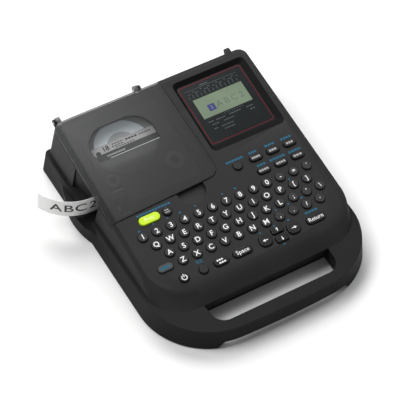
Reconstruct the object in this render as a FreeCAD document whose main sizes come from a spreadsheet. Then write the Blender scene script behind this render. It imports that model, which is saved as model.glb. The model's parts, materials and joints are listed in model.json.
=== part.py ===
import FreeCAD, Part
import Sketcher
import math
import os
import re

# Portable label maker: a sloped keyboard case on a tray with a carrying handle, a cartridge bay
# under a hinged lid, and a small printing mechanism. Millimetres, +Z up, +Y to the rear,
# origin in the middle of the tray's underside; the rubber feet stand below it.
#
# Two frames are used. "World" pieces lie level. "Deck" pieces lie in the frame of the sloped top:
# X as before, S along the slope to the rear, N square to the slope, N = 0 on the deck's surface.

Vector = FreeCAD.Vector
os.makedirs("parts", exist_ok=True)
doc = FreeCAD.newDocument("label_maker")
sheet = doc.addObject("Spreadsheet::Sheet", "sizes")

sizes = [
    # tray and handle
    ("base_half", 78.0, "half the tray's width at the bottom"),
    ("base_front", 95.0, "origin to the middle of the handle's front"),
    ("base_rear", 94.0, "origin to the tray's rear edge"),
    ("base_bow", 3.3, "how far the handle's front bows out"),
    ("front_corner", 48.0, "plan radius of the handle's corners"),
    ("bow_radius", 640.0, "plan radius of the bowed front"),
    ("rear_corner", 3.0, "plan radius of the tray's rear corners"),
    ("foot_high", 1.0, "height of a rubber foot"),
    ("ridge_height", 16.4, "top of the tray and of the handle"),
    ("side_draft", 2.6, "how far the tray's sides lean in"),
    ("front_draft", 0.6, "how far the handle's front leans in"),
    ("rear_draft", 1.4, "how far the tray's rear leans in"),
    ("tray_floor", 2.0, "thickness of the tray's floor"),
    ("cavity_front", 60.0, "origin to the inside of the tray's front wall"),
    ("cavity_corner", 19.0, "inside radius at the tray's front"),
    ("grip_half", 45.0, "half the width of the handle's slot"),
    ("grip_under", 63.2, "origin to the slot's rear edge, underneath"),
    ("grip_front", 85.0, "origin to the slot's front edge"),
    ("grip_corner", 9.0, "radius of the slot's corners"),
    ("grip_taper", 1.4, "how far the slot's ends lean in"),
    ("bar_lift", 5.2, "underside of the raised bar"),
    ("bar_half", 43.4, "half the length of the raised bar"),
    ("bar_slope", 4.0, "run of the slope at each end of the raised bar"),
    ("lip_reach", 3.4, "how far the tape lip stands out of the tray"),
    ("lip_radius", 59.0, "plan radius of the tape lip"),
    ("lip_place", 40.0, "origin to the middle of the tape lip"),
    ("lip_height", 12.0, "top of the tape lip"),
    # sloped case
    ("deck_angle", 10.3, "slope of the deck in degrees"),
    ("deck_height", 33.6, "deck above the origin"),
    ("deck_wall", 2.2, "thickness of the deck"),
    ("case_half", 70.8, "middle to the shoulder's left side"),
    ("case_right_front", 75.2, "middle to the shoulder's right side, at the front"),
    ("case_right_rear", 72.4, "middle to the shoulder's right side, at the rear"),
    ("case_front", 65.5, "origin to the shoulder's front, along the deck"),
    ("case_rear", 86.7, "origin to the case's rear, along the deck"),
    ("case_wall", 3.2, "thickness of the case's side walls"),
    ("case_corner", 28.0, "plan radius of the shoulder's front corners"),
    ("case_back_corner", 6.0, "plan radius of the case's rear corners"),
    ("case_deep", 44.0, "depth of the case's room before it is cut level"),
    ("shoulder_drop", 2.5, "shoulder below the deck"),
    ("flat_left", 68.3, "middle to the left edge of the deck's flat"),
    ("flat_right", 69.3, "middle to the right edge of the deck's flat"),
    ("flat_front", 59.0, "origin to the front edge of the deck's flat"),
    ("flat_rear", 82.5, "origin to the rear edge of the deck's flat"),
    ("flat_corner", 23.0, "front corner radius of the deck's flat"),
    ("flat_back_corner", 3.0, "rear corner radius of the deck's flat"),
    ("foot_half", 73.3, "half the case's width where it meets the tray"),
    ("foot_front", 68.5, "origin to the case's front where it meets the tray"),
    ("foot_corner", 24.0, "plan radius of the case's front corners on the tray"),
    ("foot_back_corner", 4.0, "plan radius of the case's rear corners on the tray"),
    ("room_front", 60.2, "origin to the inside of the case's front wall"),
    ("room_corner", 20.0, "inside radius at the case's front corners"),
    # lid
    ("lid_front_left", 2.7, "deck place of the lid's front edge at the left"),
    ("lid_front_right", 5.7, "deck place of the lid's front edge at the right"),
    ("lid_right_front", 8.9, "lid's right edge at the front"),
    ("lid_right_rear", 6.4, "lid's right edge at the rear"),
    ("lid_corner", 8.0, "radius of the lid's free corner"),
    ("lid_proud", 0.6, "lid's top above the deck"),
    ("lid_skirt", 4.5, "lid's rim below the deck"),
    ("lid_wall", 2.2, "thickness of the lid's rim"),
    ("lid_top", 2.0, "thickness of the lid's top"),
    ("lid_bevel", 3.2, "bevel on the lid's outer edges"),
    ("lid_gap", 0.4, "gap round the lid"),
    ("pane_left", -58.2, "left end of the lid's window"),
    ("pane_right", -12.6, "right end of the lid's window"),
    ("pane_near", 46.0, "front edge of the lid's window"),
    ("pane_far", 70.0, "rear edge of the lid's window"),
    ("pane_corner", 15.0, "radius of the window's rear corners"),
    ("pane_front_corner", 8.0, "radius of the window's front left corner"),
    ("pane_thick", 1.4, "thickness of the window"),
    ("thumb_place", -14.2, "middle of the finger notch"),
    ("thumb_radius", 9.8, "radius of the finger notch"),
    ("thumb_deep", 2.4, "depth of the finger notch"),
    # lid hinge
    ("hinge_place", 88.6, "deck place of the hinge line"),
    ("hinge_drop", 4.85, "hinge line below the deck"),
    ("knuckle", 2.8, "radius of the lid's knuckles"),
    ("hinge_root", 3.0, "how far the hinge ears reach into the rear wall"),
    ("ear", 2.3, "radius of the case's ears"),
    ("pin_radius", 1.1, "radius of the hinge pins"),
    ("running_gap", 0.05, "radial clearance of shafts and pins"),
    ("knuckle_wide", 3.0, "width of a knuckle"),
    ("ear_wide", 1.6, "width of an ear"),
    ("knuckle_left", -65.2, "middle of the left knuckle"),
    ("knuckle_right", -8.2, "middle of the right knuckle"),
    ("stand_place", 62.0, "middle of the stand-off at the right"),
    ("stand_wide", 3.0, "width of the stand-off"),
    # display
    ("screen_left", 14.8, "left edge of the display opening"),
    ("screen_right", 63.8, "right edge of the display opening"),
    ("screen_near", 26.2, "front edge of the display opening"),
    ("screen_far", 76.0, "rear edge of the display opening"),
    ("slope_left", 2.0, "run of the display frame's slope at the left"),
    ("slope_right", 3.8, "run of the display frame's slope at the right"),
    ("slope_near", 5.0, "run of the display frame's slope at the front"),
    ("slope_far", 3.2, "run of the display frame's slope at the rear"),
    ("screen_corner", 2.0, "radius of the display opening's corners"),
    ("screen_soft", 1.6, "how much larger the radius is at the top of the slope"),
    ("glass_lap", 1.4, "how far the display glass laps under the deck"),
    ("glass_thick", 1.0, "thickness of the display glass"),
    ("module_deep", 5.6, "depth of the display module"),
    # keys
    ("key_rise", 1.2, "key tops above the deck"),
    ("key_radius", 3.3, "radius of a round key"),
    ("key_flange", 0.7, "how far a key's flange reaches out"),
    ("key_gap", 0.25, "gap round each key"),
    ("flange_thick", 0.8, "thickness of a key's flange"),
    ("key_play", 0.3, "gap between flange and deck"),
    ("key_round", 0.45, "bevel on each key's top"),
    ("key_pitch", 10.0, "key to key in a row"),
    ("row_pitch", 8.3, "row to row"),
    ("first_key", -57.9, "first key of the number row"),
    ("first_row", -14.15, "deck place of the number row"),
    ("key_travel", 1.0, "how far a key goes down"),
    ("mat_thick", 1.0, "thickness of the rubber key mat"),
    ("mat_half", 59.0, "half the width of the key mat"),
    ("board_half", 61.7, "half the width of the main board"),
    ("board_front", 59.4, "origin to the main board's front edge"),
    ("board_rear", 18.0, "deck place of the main board's rear edge"),
    ("board_step", 12.0, "left edge of the board's rear part"),
    ("board_thick", 1.6, "thickness of the main board"),
    ("stud_radius", 1.5, "radius of a stud that holds the board down"),
    ("board_corner", 14.0, "radius of the board's front corners"),
    # cartridge bay and mechanism
    ("bay_left", -61.6, "left outside of the bay's liner"),
    ("bay_right", 4.6, "right outside of the bay's liner"),
    ("bay_near", 6.4, "front outside of the bay's liner"),
    ("bay_far", 80.4, "rear outside of the bay's liner"),
    ("bay_rim", 5.2, "liner's rim below the deck"),
    ("bay_wall", 1.4, "thickness of the liner's walls"),
    ("bay_floor", 27.5, "liner's floor below the deck"),
    ("chassis_thick", 1.5, "thickness of the mechanism plate and of the liner's floor"),
    ("chassis_near", 14.0, "front edge of the mechanism plate"),
    ("chassis_far", 79.0, "rear edge of the mechanism plate"),
    ("tape_wide", 18.0, "width of the tape"),
    ("tape_middle", 16.8, "middle of the tape below the deck"),
    ("tape_place", 29.6, "deck place of the tape's path"),
    ("tape_thick", 0.2, "thickness of the printed label"),
    ("curl_radius", 34.0, "radius of the printed label's curl"),
    ("curl_angle", 62.0, "angle of the printed label's curl"),
    ("curl_start", -70.0, "where the label begins to curl"),
    ("label_end", -63.0, "inner end of the printed label"),
    ("slit", 0.5, "half the tape slit's width"),
    ("scoop_near", 20.0, "front end of the tape scoop"),
    ("scoop_far", 52.0, "rear end of the tape scoop"),
    ("scoop_in", -66.0, "bottom of the tape scoop"),
    ("scoop_deep", 26.6, "tape scoop's floor below the deck"),
    ("pod_in", -63.0, "inside of the wall behind the scoop"),
    ("blade_stroke", 2.5, "stroke of the moving blade"),
    ("slider_reach", 13.6, "tape's path to the far end of the blade's slider"),
    ("platen_radius", 4.0, "radius of the platen roller"),
    ("platen_place", -54.5, "middle of the platen roller"),
    ("shaft_radius", 1.5, "radius of the platen shaft"),
    ("nip", 0.15, "gap from tape to roller and to head"),
    ("head_thick", 2.4, "thickness of the print head"),
    ("gear_module", 0.5, "tooth module of the gears"),
    ("gear_top", 31.5, "gears' upper face below the deck"),
    ("gear_thick", 2.0, "thickness of the gears"),
    ("axle_radius", 1.0, "radius of the gear axles"),
    ("spindle_radius", 2.0, "radius of the ribbon spindle"),
    ("spindle_place", -35.0, "middle of the ribbon spindle"),
    ("spindle_deck", 26.5, "deck place of the ribbon spindle"),
    ("motor_radius", 8.0, "radius of the feed motor"),
    ("motor_long", 8.0, "length of the feed motor"),
    ("motor_turn", 62.0, "direction from idler to reduction gear in degrees"),
    ("pinion_turn", 40.0, "direction from reduction gear to pinion in degrees"),
    # tape cartridge
    ("cart_right", 1.0, "right side of the cartridge"),
    ("cart_left", -59.0, "left side of the cartridge"),
    ("cart_notch", -49.0, "side of the cartridge's notch for the head"),
    ("cart_notch_far", 38.5, "end of the cartridge's notch for the head"),
    ("cart_near", 14.0, "front of the cartridge"),
    ("cart_far", 77.0, "rear of the cartridge"),
    ("cart_top", 6.4, "top of the cartridge below the deck"),
    ("cart_wall", 1.2, "thickness of the cartridge's walls"),
    ("view_rim", 0.8, "cartridge's rim over the tape roll's edge"),
    ("view_near", 60.6, "front edge of the opening over the tape roll"),
    ("roll_radius", 20.2, "radius of the tape roll"),
    ("roll_place", -34.5, "middle of the tape roll"),
    ("roll_deck", 55.4, "deck place of the tape roll"),
    ("hub_radius", 4.0, "radius of the tape roll's hub"),
    ("supply_radius", 6.0, "radius of the ribbon supply"),
    ("supply_place", -11.5, "middle of the ribbon supply"),
    ("supply_deck", 28.0, "deck place of the ribbon supply"),
    ("takeup_radius", 4.4, "radius of the ribbon take-up"),
    ("post_radius", 2.0, "radius of the ribbon supply's post"),
    # batteries
    ("cell_radius", 7.2, "radius of an AA cell"),
    ("cell_long", 50.2, "length of an AA cell"),
    ("cell_pitch", 15.0, "row to row of the cells"),
    ("cell_rear", 10.4, "origin to the rear row of cells"),
    ("cell_middle", 27.2, "middle of each cell from the centre line"),
    ("well_half", 54.4, "half the width of the battery well"),
    ("well_front", 48.8, "origin to the battery well's front"),
    ("well_rear", 2.2, "origin to the battery well's rear"),
    ("well_wall", 1.6, "thickness of the battery well's walls"),
    ("well_top", 14.4, "top of the battery well's walls"),
    ("door_gap", 0.3, "gap round the battery door"),
    # fasteners, feet, power jack
    ("boss_place", 65.4, "screw bosses from the centre line"),
    ("boss_front", 40.0, "origin to the front screws"),
    ("boss_rear", 72.0, "origin to the rear screws"),
    ("boss_radius", 3.2, "radius of the screw bosses"),
    ("screw_radius", 1.3, "radius of a screw"),
    ("screw_head", 2.5, "radius of a screw head"),
    ("screw_long", 18.6, "length of a screw under its head"),
    ("head_sink", 2.6, "depth of the screw head in the tray"),
    ("foot_radius", 5.0, "radius of a rubber foot"),
    ("jack_place", 46.0, "middle of the power jack"),
    ("jack_drop", 24.0, "power jack below the deck"),
    ("jack_bore", 2.8, "radius of the power jack's socket"),
    ("jack_pin", 0.85, "radius of the power jack's pin"),
    ("jack_long", 12.0, "length of the power jack"),
]

# special keys: name, across, along the deck, length, width
special_keys = [
    ("print_key", -47.9, -4.1, 14.6, 6.2),
    ("preview_key", -35.3, -4.2, 6.4, 6.4),
    ("menu_key", 21.6, 5.2, 6.3, 6.3),
    ("length_key", 35.4, 5.6, 9.4, 5.0),
    ("size_key", 48.1, 5.6, 9.4, 5.0),
    ("font_key", 60.8, 5.6, 9.4, 5.0),
    ("accent_key", 35.4, -4.9, 9.4, 5.0),
    ("symbol_key", 48.1, -4.9, 9.4, 5.0),
    ("barcode_key", 60.8, -4.9, 9.4, 5.0),
    ("shift_key", -55.4, -39.1, 10.5, 5.2),
    ("power_key", -48.3, -50.2, 6.6, 6.6),
    ("cancel_key", -34.7, -50.6, 6.2, 6.2),
    ("lines_key", -22.0, -50.5, 10.4, 5.4),
    ("space_key", -6.8, -50.4, 13.6, 5.8),
    ("left_key", 10.2, -50.2, 8.6, 8.4),
    ("up_key", 20.4, -46.8, 8.4, 4.8),
    ("down_key", 20.4, -53.4, 8.4, 4.8),
    ("right_key", 30.7, -50.2, 8.6, 8.4),
    ("return_key", 47.0, -50.4, 13.6, 5.8),
]
for key, across, along, length, width in special_keys:
    sizes += [
        (key + "_across", across, "middle of the " + key.replace("_", " ")),
        (key + "_along", along, "deck place of the " + key.replace("_", " ")),
        (key + "_length", length, "length of the " + key.replace("_", " ")),
        (key + "_width", width, "width of the " + key.replace("_", " ")),
    ]

# studs under the deck that hold the key mat and board down: name, across, along the deck
board_studs = [
    ("stud_front_left", -41.4, -57.0),
    ("stud_front_right", 37.6, -57.5),
    ("stud_middle_left", -28.5, -5.0),
    ("stud_middle", 27.7, 0.0),
    ("stud_rear_right", 48.1, 12.5),
]
for stud, across, along in board_studs:
    sizes += [
        (stud + "_across", across, "middle of the " + stud.replace("_", " ")),
        (stud + "_along", along, "deck place of the " + stud.replace("_", " ")),
    ]

for line, (alias, value, note) in enumerate(sizes, 1):
    sheet.set(f"A{line}", alias)
    sheet.set(f"B{line}", str(value))
    sheet.setAlias(f"B{line}", alias)
    sheet.set(f"C{line}", note)
doc.recompute()
aliases = {alias for alias, value, note in sizes}


def size(alias):
    return float(sheet.get(alias))


# ---------------------------------------------------------------- making and placing

def spelled(formula):
    """The formula as FreeCAD reads it, with each alias taken from the sheet."""
    def word(found):
        return "sizes." + found.group() if found.group() in aliases else found.group()
    return re.sub(r"[a-z][a-z_]*", word, str(formula))


def bind(thing, field, formula):
    thing.setExpression(field, spelled(formula))


def seat(thing, x="0", y="0", z="0", deck=False, turn=None):
    """Puts a piece at x, y, z in the world frame or the deck frame."""
    slope = FreeCAD.Rotation(Vector(1, 0, 0), size("deck_angle") if deck else 0)
    thing.Placement = FreeCAD.Placement(Vector(), slope * (turn or FreeCAD.Rotation()))
    bind(thing, "Placement.Base.x", x)
    if deck:
        bind(thing, "Placement.Base.y", f"({y}) * cos(deck_angle) - ({z}) * sin(deck_angle)")
        bind(thing, "Placement.Base.z",
             f"deck_height + ({y}) * sin(deck_angle) + ({z}) * cos(deck_angle)")
    else:
        bind(thing, "Placement.Base.y", y)
        bind(thing, "Placement.Base.z", z)
    return thing


def block(name, x, y, z, deck=False):
    """A box between two values on each axis."""
    box = doc.addObject("Part::Box", name)
    for field, (low, high) in zip(("Length", "Width", "Height"), (x, y, z)):
        bind(box, field, f"({high}) - ({low})")
    return seat(box, x[0], y[0], z[0], deck)


turns = {
    "z": FreeCAD.Rotation(),
    "x": FreeCAD.Rotation(Vector(0, 1, 0), 90),
    "y": FreeCAD.Rotation(Vector(1, 0, 0), -90),
}


def rod(name, radius, x, y, z, length, along="z", deck=False):
    """A cylinder that starts at x, y, z and runs along one axis."""
    cylinder = doc.addObject("Part::Cylinder", name)
    bind(cylinder, "Radius", radius)
    bind(cylinder, "Height", length)
    return seat(cylinder, x, y, z, deck, turns[along])


def joined(name, pieces):
    fuse = doc.addObject("Part::MultiFuse", name)
    fuse.Shapes = pieces
    return fuse


def grouped(name, pieces):
    group = doc.addObject("Part::Compound", name)
    group.Links = pieces
    return group


def without(name, base, tools):
    """A piece with each tool cut away in turn."""
    for number, tool in enumerate(tools, 1):
        last = number == len(tools)
        cut = doc.addObject("Part::Cut", name if last else f"{name}_cut_{number}")
        cut.Base = base
        cut.Tool = tool
        base = cut
    return base


def outline(body, name, corners, plane="XY_Plane", offset="0"):
    """A closed outline of straight sides through corners, each held by two formulas."""
    sketch = body.newObject("Sketcher::SketchObject", name)
    face = [item for item in body.Origin.OriginFeatures if item.Role == plane][0]
    sketch.AttachmentSupport = [(face, "")]
    sketch.MapMode = "FlatFace"
    bind(sketch, "AttachmentOffset.Base.z", offset)
    count = len(corners)
    start = [Vector(50 * math.cos(2 * math.pi * i / count), 50 * math.sin(2 * math.pi * i / count), 0)
             for i in range(count)]
    for i in range(count):
        sketch.addGeometry(Part.LineSegment(start[i], start[(i + 1) % count]))
    for i in range(count):
        sketch.addConstraint(Sketcher.Constraint("Coincident", i, 2, (i + 1) % count, 1))
    for i, (across, along) in enumerate(corners):
        for kind, formula, guess in (("DistanceX", across, start[i].x), ("DistanceY", along, start[i].y)):
            place = sketch.addConstraint(Sketcher.Constraint(kind, i, 1, guess))
            bind(sketch, f"Constraints[{place}]", formula)
    return sketch


def rounded(body, step, sketch, rounds, level):
    """Rounds the upright edges that start at the outline's numbered corners."""
    for places, radius in rounds:
        doc.recompute()
        feet = [sketch.Geometry[i].StartPoint for i in places]
        names = []
        for number, edge in enumerate(step.Shape.Edges, 1):
            ends = [vertex.Point for vertex in edge.Vertexes]
            if len(ends) < 2 or abs(ends[0].z - ends[1].z) < 0.01:
                continue
            low = min(ends, key=lambda point: point.z)
            low = low if level == "low" else max(ends, key=lambda point: point.z)
            if any(math.hypot(low.x - foot.x, low.y - foot.y) < 0.01 for foot in feet):
                names.append(f"Edge{number}")
        fillet = body.newObject("PartDesign::Fillet", f"{body.Name}_round")
        fillet.Base = (step, names)
        bind(fillet, "Radius", radius)
        step = fillet
    doc.recompute()
    return step


def plate(name, corners, low, high, rounds=(), deck=False):
    """A body with a flat outline, from one level up to another, with chosen corners rounded."""
    body = doc.addObject("PartDesign::Body", name)
    sketch = outline(body, name + "_outline", corners, "XY_Plane", low)
    pad = body.newObject("PartDesign::Pad", name + "_pad")
    pad.Profile = sketch
    bind(pad, "Length", f"({high}) - ({low})")
    rounded(body, pad, sketch, rounds, "low")
    return seat(body, deck=deck)


def rectangle(left, right, near, far):
    return [(left, near), (right, near), (right, far), (left, far)]


def deck_feature(name, shape):
    """A piece made from a plain shape in the deck frame."""
    feature = doc.addObject("Part::Feature", name)
    feature.Shape = shape
    return seat(feature, deck=True)


def soft_outline(corners, level):
    """A closed wire at one level through (x, y, corner radius), each corner an arc."""
    arcs = []
    count = len(corners)
    for i, (x, y, radius) in enumerate(corners):
        point = Vector(x, y, level)
        back = Vector(corners[i - 1][0], corners[i - 1][1], level) - point
        ahead = Vector(corners[(i + 1) % count][0], corners[(i + 1) % count][1], level) - point
        half = back.getAngle(ahead) / 2
        reach = radius / math.tan(half)
        middle = back.normalize() + ahead.normalize()
        middle = point + middle.normalize() * (radius / math.sin(half) - radius)
        arcs.append((point + back * reach, middle, point + ahead * reach))
    edges = []
    for i, (first, middle, last) in enumerate(arcs):
        edges.append(Part.Arc(first, middle, last).toShape())
        edges.append(Part.makeLine(last, arcs[(i + 1) % count][0]))
    return Part.Wire(edges)


def lofted(low_corners, low, high_corners, high):
    """A solid that changes evenly from one soft outline to another."""
    return Part.makeLoft([soft_outline(low_corners, low), soft_outline(high_corners, high)], True, True)


def profile(name, corners, plane, low, high):
    """A body whose outline stands upright: (Y, Z) run along X, or (X, Z) run along -Y."""
    body = doc.addObject("PartDesign::Body", name)
    sketch = outline(body, name + "_outline", corners, plane, low)
    pad = body.newObject("PartDesign::Pad", name + "_pad")
    pad.Profile = sketch
    bind(pad, "Length", f"({high}) - ({low})")
    return body


def bevel_top(body, radius, chosen):
    """Bevels the edges round a body's top face whose middle passes a test."""
    doc.recompute()
    step = body.Tip
    top = max(vertex.Z for vertex in step.Shape.Vertexes)
    names = []
    for number, edge in enumerate(step.Shape.Edges, 1):
        middle = edge.CenterOfMass
        level = all(abs(vertex.Z - top) < 0.01 for vertex in edge.Vertexes)
        if level and abs(middle.z - top) < 0.01 and chosen(middle):
            names.append(f"Edge{number}")
    bevel = body.newObject("PartDesign::Chamfer", body.Name + "_bevel")
    bevel.Base = (step, names)
    bind(bevel, "Size", radius)
    doc.recompute()
    return body


nodes = []


def node(thing, name):
    thing.Label = name
    nodes.append(thing)
    return thing


# ---------------------------------------------------------------- shared places

case_heel = "((case_rear - case_wall) / cos(deck_angle) + (deck_height - ridge_height) * tan(deck_angle))"
inside_half = "(case_half - case_wall)"
lid_front = [("-case_half", "lid_front_left"), ("lid_right_front", "lid_front_right")]
boss_places = [("-boss_place", "-boss_front"), ("boss_place", "-boss_front"),
               ("boss_place", "boss_rear"), ("-boss_place", "boss_rear")]
tape_low = "-(tape_middle + tape_wide / 2)"
tape_high = "-(tape_middle - tape_wide / 2)"
mat_top = "(deck_wall + 2 * key_play + flange_thick + key_travel)"


# ---------------------------------------------------------------- tape scoop, used by both cases

scoop = plate("tape_scoop", [
    ("-base_half - 10", "scoop_near"), ("-case_half", "scoop_near"), ("scoop_in", "tape_place - 1.5"),
    ("scoop_in", "tape_place + 3"), ("-case_half", "scoop_far"), ("-base_half - 10", "scoop_far"),
], "-scoop_deep", "-lid_skirt", deck=True)
tape_slit = block("tape_slit", ("scoop_in - 1", "pod_in + 1"), ("tape_place - slit", "tape_place + slit"),
                  (f"{tape_low} - slit", f"{tape_high} + slit"), deck=True)


# ---------------------------------------------------------------- lower case: tray with its handle

def tray_outline(side, front, bow, rear, front_corner, rear_corner):
    return [(-side, -(front - bow), front_corner), (0, -front, size("bow_radius")),
            (side, -(front - bow), front_corner), (side, rear, rear_corner), (-side, rear, rear_corner)]


def lower_case():
    side, front, bow, rear = size("base_half"), size("base_front"), size("base_bow"), size("base_rear")
    lean, corner, back = size("side_draft"), size("front_corner"), size("rear_corner")
    shell = doc.addObject("Part::Feature", "tray_shell")
    shell.Shape = lofted(
        tray_outline(side, front, bow, rear, corner, back), 0,
        tray_outline(side - lean, front - size("front_draft"), bow * (side - lean) / side,
                     rear - size("rear_draft"), corner - lean, back), size("ridge_height"))

    lip = doc.addObject("Part::Common", "tape_lip")
    lip.Base = rod("lip_curve", "lip_radius", "-(base_half + lip_reach) + lip_radius", "lip_place", "0",
                   "lip_height")
    lip.Tool = block("lip_side", ("-base_half - 10", "-case_half"),
                     ("lip_place - lip_radius", "lip_place + lip_radius"), ("0", "lip_height"))

    room = plate("tray_room", rectangle(f"-{inside_half}", inside_half, "-cavity_front", case_heel),
                 "tray_floor", "ridge_height + 1", [((0, 1), "cavity_corner"), ((2, 3), "5")])
    pod = block("tray_pod", ("-case_half", "pod_in"), ("scoop_near - 4", "scoop_far + 6"),
                ("tray_floor", "ridge_height"))
    grip = plate("grip_slot", [
        ("-grip_half", "-foot_front"), ("-(grip_half - grip_taper)", "-grip_front"),
        ("grip_half - grip_taper", "-grip_front"), ("grip_half", "-foot_front"),
    ], "-1", "ridge_height + 1", [((1, 2), "grip_corner")])
    under = profile("grip_undercut", [
        ("-foot_front - 2", "0"), ("-grip_under", "0"), ("-foot_front", "ridge_height"),
        ("-foot_front - 2", "ridge_height"),
    ], "YZ_Plane", "-grip_half", "grip_half")
    lift = profile("bar_underside", [
        ("-(bar_half + bar_slope)", "-1"), ("bar_half + bar_slope", "-1"), ("bar_half + bar_slope", "0"),
        ("bar_half", "bar_lift"), ("-bar_half", "bar_lift"), ("-(bar_half + bar_slope)", "0"),
    ], "XZ_Plane", "grip_under", "base_front + 2")
    hollow = without("tray_hollow", joined("tray_outside", [shell, lip]),
                     [without("tray_inside", room, [pod]), grip, under, lift])

    walls = without("well_walls", block(
        "well_outside", ("-(well_half + well_wall)", "well_half + well_wall"),
        ("-(well_front + well_wall)", "-(well_rear - well_wall)"), ("0", "well_top")), [block(
            "well_inside", ("-well_half", "well_half"), ("-well_front", "-well_rear"), ("-1", "well_top + 1"))])
    bosses = [rod(f"tray_boss_{i}", "boss_radius", x, y, "0", "ridge_height")
              for i, (x, y) in enumerate(boss_places)]
    full = joined("tray_full", [hollow, walls] + bosses)

    opening = block("well_opening", ("-well_half", "well_half"), ("-well_front", "-well_rear"), ("-1", "3"))
    shafts = [rod(f"tray_shaft_{i}", "screw_radius + running_gap", x, y, "-1", "ridge_height + 2")
              for i, (x, y) in enumerate(boss_places)]
    sinks = [rod(f"tray_sink_{i}", "screw_head + 0.2", x, y, "-1", "head_sink + 1")
             for i, (x, y) in enumerate(boss_places)]
    return without("lower_case", full, [opening, scoop, tape_slit] + shafts + sinks)


# ---------------------------------------------------------------- upper case: deck, walls and hinge ears

def ear_block(name, low, high):
    """A rounded ear on the case's rear wall, round the hinge line."""
    disc = rod(name + "_disc", "ear", low, "hinge_place", "-hinge_drop", f"({high}) - ({low})", "x", True)
    foot = block(name + "_foot", (low, high), ("case_rear - hinge_root", "hinge_place"),
                 ("-(hinge_drop + ear)", "-hinge_drop"), deck=True)
    return [disc, foot]


ear_left = ("knuckle_left - knuckle_wide / 2 - 0.2 - ear_wide", "knuckle_left - knuckle_wide / 2 - 0.2")
ear_right = ("knuckle_right + knuckle_wide / 2 + 0.2", "knuckle_right + knuckle_wide / 2 + 0.2 + ear_wide")


def key_profile(name, across, along, radius, points, count=1):
    """A turned body on the deck, with as many copies as the row has."""
    body = doc.addObject("PartDesign::Body", name)
    sketch = outline(body, name + "_section", points, "XZ_Plane", f"-({along})")
    bind(sketch, "AttachmentOffset.Base.x", across)
    turned = body.newObject("PartDesign::Revolution", name + "_turned")
    turned.Profile = sketch
    turned.ReferenceAxis = (sketch, ["V_Axis"])
    if count > 1:
        pattern = body.newObject("PartDesign::LinearPattern", name + "_row")
        pattern.Originals = [turned]
        pattern.Direction = (sketch, ["H_Axis"])
        bind(pattern, "Length", f"{count - 1} * key_pitch")
        pattern.Occurrences = count
        body.Tip = pattern
    return seat(body, deck=True)


def key_points(radius):
    """Half section of a key: cap above the deck, flange below it."""
    return [("0", "-(deck_wall + key_play + flange_thick)"),
            (f"{radius} + key_flange", "-(deck_wall + key_play + flange_thick)"),
            (f"{radius} + key_flange", "-(deck_wall + key_play)"), (radius, "-(deck_wall + key_play)"),
            (radius, "key_rise - key_round"), (f"{radius} - key_round", "key_rise"), ("0", "key_rise")]


def hole_points(radius):
    return [("0", "-(deck_wall + 1)"), (f"{radius} + key_gap", "-(deck_wall + 1)"),
            (f"{radius} + key_gap", "2"), ("0", "2")]


rows = [("number_keys", 13), ("upper_letter_keys", 12), ("middle_letter_keys", 12), ("lower_letter_keys", 11)]


def row_place(number):
    return f"first_key + {number} * key_pitch / 2", f"first_row - {number} * row_pitch"


def key_outline(key, extra="0"):
    length, width = f"({key}_length / 2 + {extra})", f"({key}_width / 2 + {extra})"
    return rectangle(f"{key}_across - {length}", f"{key}_across + {length}",
                     f"{key}_along - {width}", f"{key}_along + {width}")


corner_share = {"left_key": "key_radius", "right_key": "key_radius", "up_key": "1.4", "down_key": "1.4"}


def key_corner(key, extra="0"):
    """Corner radius of a key's outline: rounded ends, or a share for the arrow pads."""
    return f"{corner_share.get(key, key + '_width / 2 - 0.02')} + {extra}"


def is_round(length, width):
    return length == width


def screen_outline(share):
    """The display opening's outline, part of the way up its sloped frame."""
    left = size("screen_left") - share * size("slope_left")
    right = size("screen_right") + share * size("slope_right")
    near = size("screen_near") - share * size("slope_near")
    far = size("screen_far") + share * size("slope_far")
    corner = size("screen_corner") + share * size("screen_soft")
    return [(left, near, corner), (right, near, corner), (right, far, corner), (left, far, corner)]


def case_outside():
    """The case's outer form: from its foot on the tray to the shoulder, then in to the deck's flat."""
    slope = FreeCAD.Rotation(Vector(1, 0, 0), size("deck_angle"))
    deck = FreeCAD.Placement(Vector(0, 0, size("deck_height")), slope)
    angle = math.radians(size("deck_angle"))
    drop = size("deck_height") - size("ridge_height")
    foot_rear = (size("case_rear") + drop * math.sin(angle)) / math.cos(angle)
    half, front, corner, back = (size(alias) for alias in (
        "foot_half", "foot_front", "foot_corner", "foot_back_corner"))
    foot = soft_outline([(-half, -front, corner), (half, -front, corner), (half, foot_rear, back),
                         (-half, foot_rear, back)], size("ridge_height"))
    foot.transformShape(deck.inverse().toMatrix())
    corner, back = size("case_corner"), size("case_back_corner")
    shoulder = soft_outline([
        (-size("case_half"), -size("case_front"), corner), (size("case_right_front"), -size("case_front"), corner),
        (size("case_right_rear"), size("case_rear"), back), (-size("case_half"), size("case_rear"), back),
    ], -size("shoulder_drop"))
    left, right, near, far = -size("flat_left"), size("flat_right"), -size("flat_front"), size("flat_rear")
    corner, back = size("flat_corner"), size("flat_back_corner")
    flat = soft_outline([(left, near, corner), (right, near, corner), (right, far, back), (left, far, back)], 0)
    return deck_feature("case_outside", Part.makeLoft([foot, shoulder, flat], True, True))


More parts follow.
